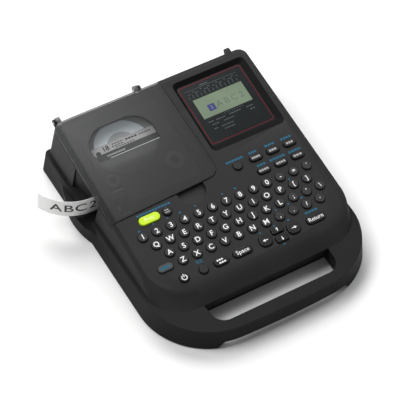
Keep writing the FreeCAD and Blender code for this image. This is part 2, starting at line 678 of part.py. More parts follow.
def upper_case():
    outside = case_outside()
    room = plate("case_room", rectangle(
        f"-{inside_half}", inside_half, "-room_front", "case_rear - case_wall"),
        "-case_deep - 5", "-deck_wall",
        [((0, 1), "room_corner"), ((2, 3), "case_back_corner - case_wall")], deck=True)
    pod = block("case_pod", ("-case_half", "pod_in"), ("scoop_near - 4", "scoop_far + 6"),
                ("-case_deep", "0"), deck=True)
    thumb_pad = rod("thumb_pad", "thumb_radius + 1.6", "thumb_place", "lid_front_left",
                    "-(thumb_deep + 1.4)", "thumb_deep", deck=True)
    shell = without("case_shell", outside, [without("case_inside", room, [pod, thumb_pad])])

    bosses = [rod(f"case_boss_{i}", "boss_radius", x, y, "ridge_height",
                  f"deck_height + ({y}) * tan(deck_angle) - deck_wall / 2 - ridge_height")
              for i, (x, y) in enumerate(boss_places)]
    studs = [rod(stud, "stud_radius", stud + "_across", stud + "_along", f"-{mat_top}",
                 f"{mat_top} - deck_wall / 2", deck=True) for stud, across, along in board_studs]
    stand = [rod("stand_disc", "knuckle", "stand_place - stand_wide / 2", "hinge_place", "-hinge_drop",
                 "stand_wide", "x", True),
             block("stand_foot", ("stand_place - stand_wide / 2", "stand_place + stand_wide / 2"),
                   ("case_rear - 1", "hinge_place"), ("-(hinge_drop + knuckle)", "-(hinge_drop - knuckle)"),
                   deck=True)]
    full = joined("case_full", [shell] + bosses + studs + stand + ear_block("ear_left", *ear_left)
                  + ear_block("ear_right", *ear_right))

    level = block("case_level", ("-100", "100"), ("-150", "150"), ("-100", "ridge_height"))
    seat_cut = plate("lid_seat", [
        ("-case_half - 2", "lid_front_left - lid_gap"), ("lid_right_front + lid_gap", "lid_front_right - lid_gap"),
        ("lid_right_rear + lid_gap", "case_rear + 2"), ("-case_half - 2", "case_rear + 2"),
    ], "-(lid_skirt + lid_gap)", "2", [((1,), "lid_corner + lid_gap")], deck=True)
    seat_low = without("lid_seat_clear", seat_cut, [
        block("seat_keep", ("-case_half - 3", "case_half"), ("case_rear + 0.01", "case_rear + 20"),
              ("-20", "3"), deck=True)])
    thumb = rod("thumb_notch", "thumb_radius", "thumb_place", "lid_front_left", "-thumb_deep", "5", deck=True)
    rise = 1
    recess = deck_feature("screen_recess", lofted(
        screen_outline(0), -size("deck_wall"), screen_outline(1 + rise / size("deck_wall")), rise))
    glass_room = plate("glass_room", rectangle(
        "screen_left - glass_lap - 0.2", "screen_right + glass_lap + 0.2", "screen_near - glass_lap - 0.2",
        "screen_far + glass_lap + 0.2"), "-(deck_wall + glass_thick + 0.2)", "-deck_wall", deck=True)
    holes = []
    for number, (name, count) in enumerate(rows):
        across, along = row_place(number)
        holes.append(key_profile(name + "_holes", across, along, "key_radius", hole_points("key_radius"), count))
    for key, across, along, length, width in special_keys:
        if is_round(length, width):
            holes.append(key_profile(key + "_hole", key + "_across", key + "_along", "", hole_points(
                f"{key}_width / 2")))
        else:
            holes.append(plate(key + "_hole", key_outline(key, "key_gap"), "-(deck_wall + 1)", "2",
                               [((0, 1, 2, 3), key_corner(key, "key_gap"))], deck=True))
    pilots = [rod(f"case_pilot_{i}", "screw_radius + running_gap", x, y, "ridge_height - 1",
                  "screw_long + head_sink + 2 - ridge_height") for i, (x, y) in enumerate(boss_places)]
    knuckle_room = [rod(f"knuckle_room_{i}", "knuckle + 0.3", f"{middle} - knuckle_wide / 2 - 0.2",
                        "hinge_place", "-hinge_drop", "knuckle_wide + 0.4", "x", True)
                    for i, middle in enumerate(("knuckle_left", "knuckle_right"))]
    pin_room = [rod(f"ear_bore_{i}", "pin_radius", f"{low} - 1", "hinge_place", "-hinge_drop",
                    "ear_wide + 2", "x", True) for i, (low, high) in enumerate((ear_left, ear_right))]
    jack_hole = rod("jack_hole", "jack_bore + 0.6", "jack_place", "case_rear - case_wall - 1", "-jack_drop",
                    "case_wall + 2", "y", True)
    return without("upper_case", full, [
        level, seat_low, thumb, recess, glass_room, scoop, tape_slit, jack_hole, grouped("case_key_holes", holes),
        grouped("case_pilots", pilots), grouped("knuckle_rooms", knuckle_room), grouped("ear_bores", pin_room)])


# ---------------------------------------------------------------- cartridge lid, its window and pins

def cartridge_lid():
    outside = plate("lid_outside", lid_front + [("lid_right_rear", "case_rear"), ("-case_half", "case_rear")],
                    "-lid_skirt", "lid_proud",
                    [((1,), "lid_corner"), ((3,), "case_back_corner")], deck=True)
    bevel_top(outside, "lid_bevel", lambda middle: middle.x < -size("case_half") + 6
              or middle.y > size("case_rear") - 3)
    inside = plate("lid_inside", [
        ("-(case_half - lid_wall - 3)", "lid_front_left + lid_wall + 0.3"),
        ("lid_right_front - lid_wall", "lid_front_right + lid_wall"),
        ("lid_right_rear - lid_wall", "case_rear - lid_wall - 3"),
        ("-(case_half - lid_wall - 3)", "case_rear - lid_wall - 3"),
    ], "-lid_skirt - 1", "lid_proud - lid_top", [((1,), "lid_corner - lid_wall")], deck=True)
    pane_hole = plate("pane_hole", rectangle("pane_left", "pane_right", "pane_near", "pane_far"),
                      "-3", "3", [((2, 3), "pane_corner"), ((0,), "pane_front_corner")], deck=True)
    ear_room = [rod(f"ear_room_{i}", "ear + 0.3", f"{low} - 0.2", "hinge_place", "-hinge_drop",
                    "ear_wide + 0.4", "x", True) for i, (low, high) in enumerate((ear_left, ear_right))]
    shell = without("lid_shell", outside, [inside, pane_hole] + ear_room)
    knuckles = []
    for i, middle in enumerate(("knuckle_left", "knuckle_right")):
        low = f"{middle} - knuckle_wide / 2"
        knuckles.append(rod(f"knuckle_disc_{i}", "knuckle", low, "hinge_place", "-hinge_drop",
                            "knuckle_wide", "x", True))
        knuckles.append(block(f"knuckle_arm_{i}", (low, f"{middle} + knuckle_wide / 2"),
                              ("case_rear - 1", "hinge_place"),
                              ("-lid_skirt", "-(hinge_drop - knuckle)"), deck=True))
    latch = block("lid_catch", ("thumb_place - 4", "thumb_place + 4"),
                  ("bay_near + bay_wall + 0.4", "bay_near + bay_wall + 1.6"),
                  ("-(bay_rim + 3)", "lid_proud - lid_top / 2"), deck=True)
    bores = [rod(f"knuckle_bore_{i}", "pin_radius + running_gap", f"{middle} - knuckle_wide / 2 - 1",
                 "hinge_place", "-hinge_drop", "knuckle_wide + 2", "x", True)
             for i, middle in enumerate(("knuckle_left", "knuckle_right"))]
    return without("cartridge_lid", joined("lid_full", [shell, latch] + knuckles), bores)


def lid_window():
    return plate("lid_window", rectangle(
        "pane_left + 0.1", "pane_right - 0.1", "pane_near + 0.1", "pane_far - 0.1"),
        "lid_proud - 0.2 - pane_thick", "lid_proud - 0.2",
        [((2, 3), "pane_corner - 0.1"), ((0,), "pane_front_corner - 0.1")], deck=True)


def hinge_pins():
    long = "knuckle_wide + ear_wide + 0.2"
    return grouped("hinge_pins", [
        rod("pin_left", "pin_radius", ear_left[0], "hinge_place", "-hinge_drop", long, "x", True),
        rod("pin_right", "pin_radius", "knuckle_right - knuckle_wide / 2", "hinge_place", "-hinge_drop",
            long, "x", True)])


# ---------------------------------------------------------------- display, keys and main board

def display_window():
    return plate("display_window", rectangle(
        "screen_left - glass_lap", "screen_right + glass_lap", "screen_near - glass_lap",
        "screen_far + glass_lap"), "-(deck_wall + glass_thick)", "-deck_wall", deck=True)


def lcd_module():
    return block("lcd_module", ("screen_left + 2", "screen_right - 2"), ("screen_near + 6", "screen_far - 4"),
                 ("-(deck_wall + glass_thick + module_deep)", "-(deck_wall + glass_thick)"), deck=True)


def key_mat():
    return plate("key_mat", [
        ("-mat_half", "-(board_front - 2)"), ("mat_half", "-(board_front - 2)"),
        ("mat_half", "board_rear - 2"), ("board_step + 2", "board_rear - 2"),
        ("board_step + 2", "bay_near - 4"), ("-mat_half", "bay_near - 4"),
    ], f"-({mat_top} + mat_thick)", f"-{mat_top}", [((0, 1), "board_corner")], deck=True)


def main_board():
    return plate("main_board", [
        ("-board_half", "-board_front"), ("board_half", "-board_front"), ("board_half", "board_rear"),
        ("board_step", "board_rear"), ("board_step", "bay_near - 2"), ("-board_half", "bay_near - 2"),
    ], f"-({mat_top} + mat_thick + board_thick)", f"-({mat_top} + mat_thick)",
        [((0, 1), "board_corner")], deck=True)


def special_key(key, length, width):
    if is_round(length, width):
        return key_profile(key, key + "_across", key + "_along", "", key_points(f"{key}_width / 2"))
    cap = plate(key + "_cap", key_outline(key), "-(deck_wall + key_play)", "key_rise",
                [((0, 1, 2, 3), key_corner(key))], deck=True)
    bevel_top(cap, "key_round", lambda middle: True)
    flange = plate(key + "_flange", key_outline(key, "key_flange"),
                   "-(deck_wall + key_play + flange_thick)", "-(deck_wall + key_play)",
                   [((0, 1, 2, 3), key_corner(key, "key_flange"))], deck=True)
    return joined(key, [cap, flange])


# ---------------------------------------------------------------- cartridge bay and mechanism

def bay_liner():
    outside = block("liner_outside", ("bay_left", "bay_right"), ("bay_near", "bay_far"),
                    ("-(bay_floor + chassis_thick)", "-bay_rim"), deck=True)
    inside = block("liner_inside", ("bay_left + bay_wall", "bay_right - bay_wall"),
                   ("bay_near + bay_wall", "bay_far - bay_wall"), ("-bay_floor", "0"), deck=True)
    slit = block("liner_slit", ("bay_left - 1", "bay_left + bay_wall + 1"),
                 ("tape_place - 3 * slit", "tape_place + 3 * slit"), ("-bay_floor + 0.5", "0"), deck=True)
    shaft = rod("liner_shaft", "shaft_radius + running_gap", "platen_place", platen_deck, "-bay_floor - 3",
                "6", deck=True)
    spindle = rod("liner_spindle", "spindle_radius + running_gap", "spindle_place", "spindle_deck",
                  "-bay_floor - 3", "6", deck=True)
    rim = without("liner_rim", block(
        "liner_rim_sheet", (f"-({inside_half} - 0.4)", "board_step - 0.4"),
        ("bay_near - 1.6", "bay_far - 6"), ("-(bay_rim + bay_wall)", "-bay_rim"), deck=True), [
            block("liner_rim_pod", (f"-{inside_half} - 1", "pod_in + 0.4"),
                  ("scoop_near - 4.4", "scoop_far + 6.4"), ("-bay_floor", "0"), deck=True),
            rod("liner_rim_boss", "boss_radius + 0.6", "-boss_place", "boss_rear", "ridge_height",
                "deck_height")])
    return without("bay_liner", joined("liner_full", [outside, rim]), [inside, slit, shaft, spindle])


platen_deck = "tape_place + tape_thick / 2 + nip + platen_radius"
teeth = {"motor_pinion": 12, "reduction_gear": 48, "idler_gear": 36, "platen_gear": 18, "ribbon_spindle": 24}


def pitch_radius(name):
    return teeth[name] * size("gear_module") / 2


def gear_places():
    """Gear centres on the deck: the idler meshes with platen and ribbon gears, then the train goes on."""
    platen = Vector(size("platen_place"), size("tape_place") + size("tape_thick") / 2 + size("nip")
                    + size("platen_radius"), 0)
    ribbon = Vector(size("spindle_place"), size("spindle_deck"), 0)
    to_platen = pitch_radius("platen_gear") + pitch_radius("idler_gear")
    to_ribbon = pitch_radius("ribbon_spindle") + pitch_radius("idler_gear")
    line = ribbon - platen
    along = (to_platen ** 2 - to_ribbon ** 2 + line.Length ** 2) / (2 * line.Length)
    aside = math.sqrt(to_platen ** 2 - along ** 2)
    line.normalize()
    idler = platen + line * along + Vector(-line.y, line.x, 0) * aside

    def further(start, turn, reach):
        angle = math.radians(size(turn))
        return start + Vector(math.cos(angle), math.sin(angle), 0) * reach

    reduction = further(idler, "motor_turn", pitch_radius("idler_gear") + pitch_radius("reduction_gear"))
    pinion = further(reduction, "pinion_turn", pitch_radius("reduction_gear") + pitch_radius("motor_pinion"))
    return {"platen_gear": platen, "ribbon_spindle": ribbon, "idler_gear": idler,
            "reduction_gear": reduction, "motor_pinion": pinion}


places = gear_places()


def gear_phase(name, driver, driver_phase):
    """Turn that puts a gap of this gear over a tooth of its driver."""
    line = places[name] - places[driver]
    facing = math.degrees(math.atan2(line.y, line.x))
    pitch = 360 / teeth[driver]
    ahead = (driver_phase - facing) % pitch
    return facing + 180 - ahead * teeth[driver] / teeth[name] + 180 / teeth[name]


phases = {"idler_gear": 0.0}
for name, driver in (("platen_gear", "idler_gear"), ("ribbon_spindle", "idler_gear"),
                     ("reduction_gear", "idler_gear"), ("motor_pinion", "reduction_gear")):
    phases[name] = gear_phase(name, driver, phases[driver])


def gear_disc(name):
    """A spur gear's toothed disc, at its place under the mechanism plate."""
    module, count = size("gear_module"), teeth[name]
    tip, root = pitch_radius(name) + 0.8 * module, pitch_radius(name) - 1.1 * module
    points = []
    for tooth in range(count):
        middle = math.radians(phases[name] + 360 * tooth / count)
        step = 2 * math.pi / count
        for radius, share in ((root, -0.30), (tip, -0.11), (tip, 0.11), (root, 0.30)):
            angle = middle + share * step
            points.append(Vector(radius * math.cos(angle), radius * math.sin(angle), 0))
    disc = Part.Face(Part.makePolygon(points + points[:1])).extrude(Vector(0, 0, size("gear_thick")))
    low = -(size("gear_top") + size("gear_thick"))
    disc.translate(places[name] + Vector(0, 0, low))
    return disc


def gear(name, bore):
    low = -(size("gear_top") + size("gear_thick"))
    hole = Part.makeCylinder(bore, size("gear_thick") + 2, places[name] + Vector(0, 0, low - 1))
    return deck_feature(name, gear_disc(name).cut(hole))


def ribbon_spindle():
    low = -(size("gear_top") + size("gear_thick"))
    stem = Part.makeCylinder(size("spindle_radius"), -low - size("cart_top") - 3,
                             places["ribbon_spindle"] + Vector(0, 0, low))
    return deck_feature("ribbon_spindle", gear_disc("ribbon_spindle").fuse(stem).removeSplitter())


def motor_pinion():
    low = -(size("gear_top") + size("gear_thick"))
    stem = Part.makeCylinder(size("axle_radius"), size("gear_thick") + 4,
                             places["motor_pinion"] + Vector(0, 0, low - 4))
    return deck_feature("motor_pinion", gear_disc("motor_pinion").fuse(stem).removeSplitter())


def motor_top():
    return size("gear_top") + size("gear_thick") + 0.5


def feed_motor():
    centre = places["motor_pinion"]
    can = Part.makeCylinder(size("motor_radius"), size("motor_long"),
                            centre + Vector(0, 0, -motor_top() - size("motor_long")))
    bore = Part.makeCylinder(size("axle_radius") + size("running_gap"), 6, centre + Vector(0, 0, -motor_top() - 5))
    return deck_feature("feed_motor", can.cut(bore))


def mechanism_plate():
    top, thick = size("bay_floor") + size("chassis_thick"), size("chassis_thick")
    shape = Part.makeBox(size("bay_right") - size("bay_left") - 4, size("chassis_far") - size("chassis_near"),
                         thick, Vector(size("bay_left") + 2, size("chassis_near"), -top - thick))
    under = -top - thick
    angle = math.radians(size("pinion_turn") + 90)
    for side in (-1, 1):
        foot = places["motor_pinion"] + Vector(math.cos(angle), math.sin(angle), 0) * side * 5.5
        shape = shape.fuse(Part.makeCylinder(1.2, motor_top() + under, foot + Vector(0, 0, -motor_top())))
    for name in ("idler_gear", "reduction_gear"):
        shape = shape.cut(Part.makeCylinder(size("axle_radius"), thick + 2, places[name] + Vector(0, 0, under - 1)))
    for name, radius in (("platen_gear", "shaft_radius"), ("ribbon_spindle", "spindle_radius")):
        shape = shape.cut(Part.makeCylinder(size(radius) + size("running_gap"), thick + 2,
                                            places[name] + Vector(0, 0, under - 1)))
    plate_top = deck_feature("mechanism_top", shape)
    legs = []
    for i, (x, y) in enumerate((("bay_left + 6", "21"), ("bay_right - 6", "21"),
                                ("bay_left + 6", "78"), ("bay_right - 6", "78"))):
        legs.append(rod(f"mechanism_leg_{i}", "2.5", x, y, "tray_floor",
                        f"deck_height + {y} * tan(deck_angle) - (bay_floor + 1.5 * chassis_thick)"
                        " / cos(deck_angle) - tray_floor"))
    return joined("mechanism_plate", [plate_top] + legs)


def gear_axles():
    low = size("gear_top") + size("gear_thick") + 0.6
    high = size("bay_floor") + size("chassis_thick")
    pins = [Part.makeCylinder(size("axle_radius"), low - high, places[name] + Vector(0, 0, -low))
            for name in ("idler_gear", "reduction_gear")]
    return deck_feature("gear_axles", Part.makeCompound(pins))


def platen_shaft():
    return rod("platen_shaft", "shaft_radius", "platen_place", platen_deck, "-(gear_top + gear_thick)",
               "gear_top + gear_thick - cart_top", deck=True)


def platen_roller():
    tyre = rod("roller_outside", "platen_radius", "platen_place", platen_deck, tape_low, "tape_wide", deck=True)
    bore = rod("roller_bore", "shaft_radius", "platen_place", platen_deck, f"{tape_low} - 1", "tape_wide + 2",
               deck=True)
    return without("platen_roller", tyre, [bore])


head_face = "tape_place - tape_thick / 2 - nip"


def print_head():
    return block("print_head", ("platen_place - 3", "platen_place + 3"),
                 (f"{head_face} - head_thick", head_face), (tape_low, tape_high), deck=True)


def head_bracket():
    back = f"{head_face} - head_thick"
    sheet_metal = block("bracket_back", ("platen_place - 3.4", "platen_place + 4.2"), (f"{back} - 1.4", back),
                        ("-bay_floor", "-(cart_top - 0.2)"), deck=True)
    fins = [block(f"bracket_fin_{i}", (f"platen_place - 3.2 + {i} * 2", f"platen_place - 2.4 + {i} * 2"),
                  (f"{back} - 5", f"{back} - 1"), ("-bay_floor + 1", "-(cart_top + 1)"), deck=True)
            for i in range(4)]
    return joined("head_bracket", [sheet_metal] + fins)


def cutter():
    edge = "bay_left + bay_wall"
    fixed = block("cutter_fixed_blade", (f"{edge} + 0.1", f"{edge} + 0.6"), ("tape_place + 0.6", "tape_place + 8"),
                  ("-bay_floor", "-cart_top"), deck=True)
    blade = block("moving_edge", (f"{edge} + 0.7", f"{edge} + 1.2"), ("tape_place - 10", "tape_place - 0.6"),
                  ("-bay_floor + 0.3", "-cart_top"), deck=True)
    slider = block("moving_slider", (f"{edge} + 0.7", f"{edge} + 4"), ("tape_place - slider_reach", "tape_place - slider_reach + 4"),
                   ("-bay_floor + 0.3", "-(cart_top + 6)"), deck=True)
    moving = joined("cutter_moving_blade", [blade, slider])
    motor = block("cutter_motor", (f"{edge} + 1", f"{edge} + 9.5"),
                  ("bay_near + bay_wall + 0.4", "tape_place - slider_reach - blade_stroke - 0.4"),
                  ("-bay_floor", "-(cart_top + 8)"), deck=True)
    return fixed, moving, motor


def cartridge_outline(inset):
    return [(f"cart_notch + {inset}", f"cart_near + {inset}"), (f"cart_right - {inset}", f"cart_near + {inset}"),
            (f"cart_right - {inset}", f"cart_far - {inset}"), (f"cart_left + {inset}", f"cart_far - {inset}"),
            (f"cart_left + {inset}", f"cart_notch_far + {inset}"),
            (f"cart_notch + {inset}", f"cart_notch_far + {inset}")]


def tape_cartridge():
    low = "-(bay_floor - 0.1)"
    outside = plate("cartridge_outside", cartridge_outline("0"), low, "-cart_top",
                    [((0, 1, 2, 3, 4), "1.5")], deck=True)
    inside = plate("cartridge_inside", cartridge_outline("cart_wall"), f"{low} + cart_wall",
                   "-(cart_top + cart_wall)", deck=True)
    disc = rod("cartridge_view_disc", "roll_radius - view_rim", "roll_place", "roll_deck", "-cart_top - 3", "6",
               deck=True)
    front = block("cartridge_view_front", ("roll_place - 30", "roll_place + 30"),
                  ("roll_deck - 40", "view_near"), ("-cart_top - 4", "3"), deck=True)
    view = without("cartridge_view", disc, [front])
    spindle = rod("cartridge_spindle_hole", "spindle_radius + 0.6", "spindle_place", "spindle_deck",
                  f"{low} - 1", "4", deck=True)
    shell = without("cartridge_shell", outside, [inside, view, spindle])
    posts = [rod("cartridge_hub", "hub_radius - running_gap", "roll_place", "roll_deck", low, "bay_floor - 10",
                 deck=True),
             rod("cartridge_post", "post_radius - running_gap", "supply_place", "supply_deck", low,
                 "bay_floor - 10", deck=True)]
    return joined("tape_cartridge", [shell] + posts)


def reel(name, radius, bore, x, y):
    """A wound reel as wide as the tape."""
    return without(name, rod(name + "_outside", radius, x, y, tape_low, "tape_wide", deck=True),
                   [rod(name + "_bore", bore, x, y, f"{tape_low} - 1", "tape_wide + 2", deck=True)])


def printed_label():
    straight = block("label_straight", ("curl_start", "label_end"),
                     ("tape_place - tape_thick / 2", "tape_place + tape_thick / 2"), (tape_low, tape_high),
                     deck=True)
    turn = FreeCAD.Rotation(Vector(0, 0, 1), 270 - size("curl_angle"))
    discs = []
    for name, radius in (("label_outer", "curl_radius + tape_thick / 2"),
                         ("label_inner", "curl_radius - tape_thick / 2")):
        disc = doc.addObject("Part::Cylinder", name)
        bind(disc, "Radius", radius)
        bind(disc, "Height", "tape_wide")
        bind(disc, "Angle", "curl_angle")
        discs.append(seat(disc, "curl_start", "tape_place + curl_radius", tape_low, True, turn))
    return joined("printed_label", [straight, without("label_curl", discs[0], [discs[1]])])


# ---------------------------------------------------------------- batteries, power jack, screws, feet

cell_rows = [f"-(cell_rear + {i} * cell_pitch)" for i in range(3)]
cell_level = "tray_floor + running_gap + cell_radius"


def battery_door():
    hinge_line = "-(well_rear + door_gap + tray_floor / 2)"
    panel = block("door_panel", ("-(well_half - door_gap)", "well_half - door_gap"),
                  ("-(well_front - door_gap)", hinge_line), ("0", "tray_floor"))
    barrel = rod("door_barrel", "tray_floor / 2", "-(well_half - door_gap)", hinge_line, "tray_floor / 2",
                 "2 * (well_half - door_gap)", "x")
    return joined("battery_door", [panel, barrel])


def batteries():
    cells = []
    for i, row in enumerate(cell_rows):
        for side, middle in (("left", "-cell_middle"), ("right", "cell_middle")):
            cells.append(rod(f"cell_{side}_{i}", "cell_radius", f"{middle} - cell_long / 2", row, cell_level,
                             "cell_long", "x"))
    return grouped("batteries", cells)


def battery_contacts():
    end = "(cell_middle + cell_long / 2 + 0.1)"
    inner = "(cell_middle - cell_long / 2 - 0.1)"
    springs = []
    for i, row in enumerate(cell_rows):
        springs.append(rod(f"contact_left_{i}", "3", "-well_half", row, cell_level, f"well_half - {end}", "x"))
        springs.append(rod(f"contact_middle_{i}", "3", f"-{inner}", row, cell_level, f"2 * {inner}", "x"))
        springs.append(rod(f"contact_right_{i}", "3", end, row, cell_level, f"well_half - {end}", "x"))
    return grouped("battery_contacts", springs)


def power_jack():
    mouth = "(case_rear - case_wall)"
    box = block("jack_box", ("jack_place - jack_bore - 2", "jack_place + jack_bore + 2"),
                (f"{mouth} - jack_long", mouth), ("-(jack_drop + jack_bore + 2)", "-(jack_drop - jack_bore - 2)"),
                deck=True)
    socket = rod("jack_socket", "jack_bore", "jack_place", f"{mouth} - jack_long + 2", "-jack_drop",
                 "jack_long", "y", True)
    pin = rod("jack_centre_pin", "jack_pin", "jack_place", f"{mouth} - jack_long + 1", "-jack_drop",
              "jack_long - 1.5", "y", True)
    return joined("power_jack", [without("jack_shell", box, [socket]), pin])


def case_screws():
    screws = []
    for i, (x, y) in enumerate(boss_places):
        head = rod(f"screw_head_{i}", "screw_head", x, y, "0.4", "head_sink - 0.4")
        shank = rod(f"screw_shank_{i}", "screw_radius", x, y, "head_sink - 0.2", "screw_long")
        screws.append(joined(f"screw_{i}", [head, shank]))
    return grouped("case_screws", screws)


def rubber_feet():
    spots = [("-54", "-74"), ("54", "-74"), ("64", "80"), ("-64", "80")]
    return grouped("rubber_feet", [rod(f"foot_{i}", "foot_radius", x, y, "-foot_high", "foot_high")
                                   for i, (x, y) in enumerate(spots)])


# ---------------------------------------------------------------- the whole machine

node(lower_case(), "lower_case")
node(upper_case(), "upper_case")
node(cartridge_lid(), "cartridge_lid")
node(lid_window(), "lid_window")
node(hinge_pins(), "lid_hinge_pins")
node(display_window(), "display_window")
node(lcd_module(), "lcd_module")
node(key_mat(), "key_mat")
node(main_board(), "main_board")
for number, (name, count) in enumerate(rows):
    across, along = row_place(number)
    node(key_profile(name, across, along, "key_radius", key_points("key_radius"), count), name)
for key, across, along, length, width in special_keys:
    node(special_key(key, length, width), key)
node(bay_liner(), "bay_liner")
node(mechanism_plate(), "mechanism_plate")
node(tape_cartridge(), "tape_cartridge")
node(reel("tape_roll", "roll_radius", "hub_radius", "roll_place", "roll_deck"), "tape_roll")
node(reel("ribbon_supply", "supply_radius", "post_radius", "supply_place", "supply_deck"), "ribbon_supply")
node(reel("ribbon_takeup", "takeup_radius", "spindle_radius", "spindle_place", "spindle_deck"), "ribbon_takeup")
node(ribbon_spindle(), "ribbon_spindle")
node(platen_roller(), "platen_roller")
node(platen_shaft(), "platen_shaft")
node(gear("platen_gear", size("shaft_radius")), "platen_gear")
node(gear("idler_gear", size("axle_radius") + size("running_gap")), "idler_gear")
node(gear("reduction_gear", size("axle_radius") + size("running_gap")), "reduction_gear")
node(motor_pinion(), "motor_pinion")
node(feed_motor(), "feed_motor")
node(gear_axles(), "gear_axles")
node(print_head(), "print_head")
node(head_bracket(), "head_bracket")
for piece in cutter():
    node(piece, piece.Name)
node(printed_label(), "printed_label")
node(battery_door(), "battery_door")
node(batteries(), "batteries")
node(battery_contacts(), "battery_contacts")
node(power_jack(), "power_jack")
node(case_screws(), "case_screws")
node(rubber_feet(), "rubber_feet")

doc.recompute()
failed = [item.Label for item in doc.Objects if "Invalid" in item.State or "Error" in item.State]
if failed:
    raise RuntimeError(f"these did not build: {failed}")
unsound = [piece.Label for piece in nodes
           if piece.Shape.isNull() or not piece.Shape.isValid() or not piece.Shape.Solids]
if unsound:
    raise RuntimeError(f"these are not sound solids: {unsound}")
for piece in nodes:
    piece.Shape.exportStep(f"parts/{piece.Label}.step")
    print(f"{piece.Label}: {len(piece.Shape.Solids)} solids, {piece.Shape.Volume:.0f} mm3")
print(len(nodes), "nodes")
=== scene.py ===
import bpy
import bmesh
import json
import math
from mathutils import Matrix, Vector


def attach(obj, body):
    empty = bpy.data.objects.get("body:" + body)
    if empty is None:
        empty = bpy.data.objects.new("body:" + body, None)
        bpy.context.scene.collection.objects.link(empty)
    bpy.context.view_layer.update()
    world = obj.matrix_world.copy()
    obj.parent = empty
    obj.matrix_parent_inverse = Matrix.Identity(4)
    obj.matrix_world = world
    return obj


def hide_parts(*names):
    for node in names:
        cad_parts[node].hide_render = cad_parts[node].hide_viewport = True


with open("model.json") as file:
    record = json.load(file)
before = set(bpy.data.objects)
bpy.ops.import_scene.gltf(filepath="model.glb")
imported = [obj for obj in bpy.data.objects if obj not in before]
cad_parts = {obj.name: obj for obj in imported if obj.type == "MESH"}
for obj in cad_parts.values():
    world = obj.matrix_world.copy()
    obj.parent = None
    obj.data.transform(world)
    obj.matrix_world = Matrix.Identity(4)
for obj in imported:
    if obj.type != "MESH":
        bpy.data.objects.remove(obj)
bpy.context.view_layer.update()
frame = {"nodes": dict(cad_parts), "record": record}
nodes = frame["nodes"]
record = frame["record"]
bodyOf = {node: body for body, members in record["behaviour"]["bodies"].items() for node in members}
print("frame loaded:", len(nodes), "nodes")

mm = 0.001
deckAngle = math.radians(10.3)
deckHeight = 33.6
deckTurn = Matrix.Translation((0, 0, deckHeight * mm)) @ Matrix.Rotation(deckAngle, 4, "X")


def onDeck(x, s, n):  # a place in the sloped top's own frame, in millimetres
    return deckTurn @ Matrix.Translation((x * mm, s * mm, n * mm))


# camera and lights, in metres

cameraLook = {"azimuth": -29.545, "elevation": 50.842, "distance": 1.0284, "lens": 146.28,
              "target": (-0.01293, -0.00668, 0.03362), "sensor": 36, "reach": 20}


def makeCamera(look):
    turn, rise = math.radians(look["azimuth"]), math.radians(look["elevation"])
    right = Vector((math.cos(turn), math.sin(turn), 0))
    back = Vector((math.sin(turn) * math.cos(rise), -math.cos(turn) * math.cos(rise), math.sin(rise)))
    up = back.cross(right)
    place = Vector(look["target"]) + back * look["distance"]
    data = bpy.data.cameras.new("camera")
    data.lens = look["lens"]
    data.sensor_width = look["sensor"]
    data.clip_end = look["reach"]
    camera = bpy.data.objects.new("camera", data)
    camera.matrix_world = Matrix.Translation(place) @ Matrix((right, up, back)).transposed().to_4x4()
    bpy.context.scene.collection.objects.link(camera)
    bpy.context.scene.camera = camera


lampLooks = {
    "keyLamp": {"place": (0.3, 1.25, 1.65), "size": 1.3, "power": 31, "colour": (1.0, 0.99, 0.98)},
    "topLamp": {"place": (-1.05, 0.5, 1.9), "size": 1.3, "power": 35, "colour": (1.0, 1.0, 1.0)},
    "sideLamp": {"place": (1.5, 0.2, 1.6), "size": 1.2, "power": 12, "colour": (0.97, 0.985, 1.0)},
}


def makeLamp(name, look):  # a round soft lamp that faces the object
    data = bpy.data.lights.new(name, "AREA")
    data.shape = "DISK"
    data.size = look["size"]
    data.energy = look["power"]
    data.color = look["colour"]
    lamp = bpy.data.objects.new(name, data)
    place = Vector(look["place"])
    lamp.matrix_world = Matrix.Translation(place) @ place.to_track_quat("Z", "Y").to_matrix().to_4x4()
    bpy.context.scene.collection.objects.link(lamp)


worldLook = {"colour": (1.0, 1.0, 1.0), "strength": 0.26}


def makeWorld(look):
    world = bpy.data.worlds.new("studio")
    world.use_nodes = True
    back = world.node_tree.nodes["Background"]
    back.inputs["Color"].default_value = (*look["colour"], 1)
    back.inputs["Strength"].default_value = look["strength"]
    bpy.context.scene.world = world
    bpy.context.scene.view_settings.view_transform = "Standard"


makeCamera(cameraLook)
for name, look in lampLooks.items():
    makeLamp(name, look)
makeWorld(worldLook)
print("camera and lights done")

# materials: plainLook holds what a finish has when its own line says nothing

plainLook = {"metal": 0, "shine": 0.35, "ior": 1.5, "coat": 0, "alpha": 1, "paintedGlow": 0, "spread": 0.12,
             "cloudScale": 45, "grainScale": 2600, "bump": 0.25}
surfaceLook = {"coatRough": 0.15, "cloudDetail": 4, "lowTone": 0.3, "highTone": 0.7, "grainDetail": 3,
               "roughSpread": 0.06, "grainDepth": 0.00006}


def addTones(tree, place, look):  # a slow change of colour over the moulding
    cloud = tree.nodes.new("ShaderNodeTexNoise")
    cloud.inputs["Scale"].default_value = look["cloudScale"]
    cloud.inputs["Detail"].default_value = surfaceLook["cloudDetail"]
    tree.links.new(place.outputs["Object"], cloud.inputs["Vector"])
    tones = tree.nodes.new("ShaderNodeValToRGB")
    darker, lighter = tones.color_ramp.elements
    darker.position = surfaceLook["lowTone"]
    darker.color = (*[part * (1 - look["spread"]) for part in look["colour"]], 1)
    lighter.position = surfaceLook["highTone"]
    lighter.color = (*[min(1, part * (1 + look["spread"])) for part in look["colour"]], 1)
    tree.links.new(cloud.outputs["Fac"], tones.inputs["Fac"])
    return tones.outputs["Color"]


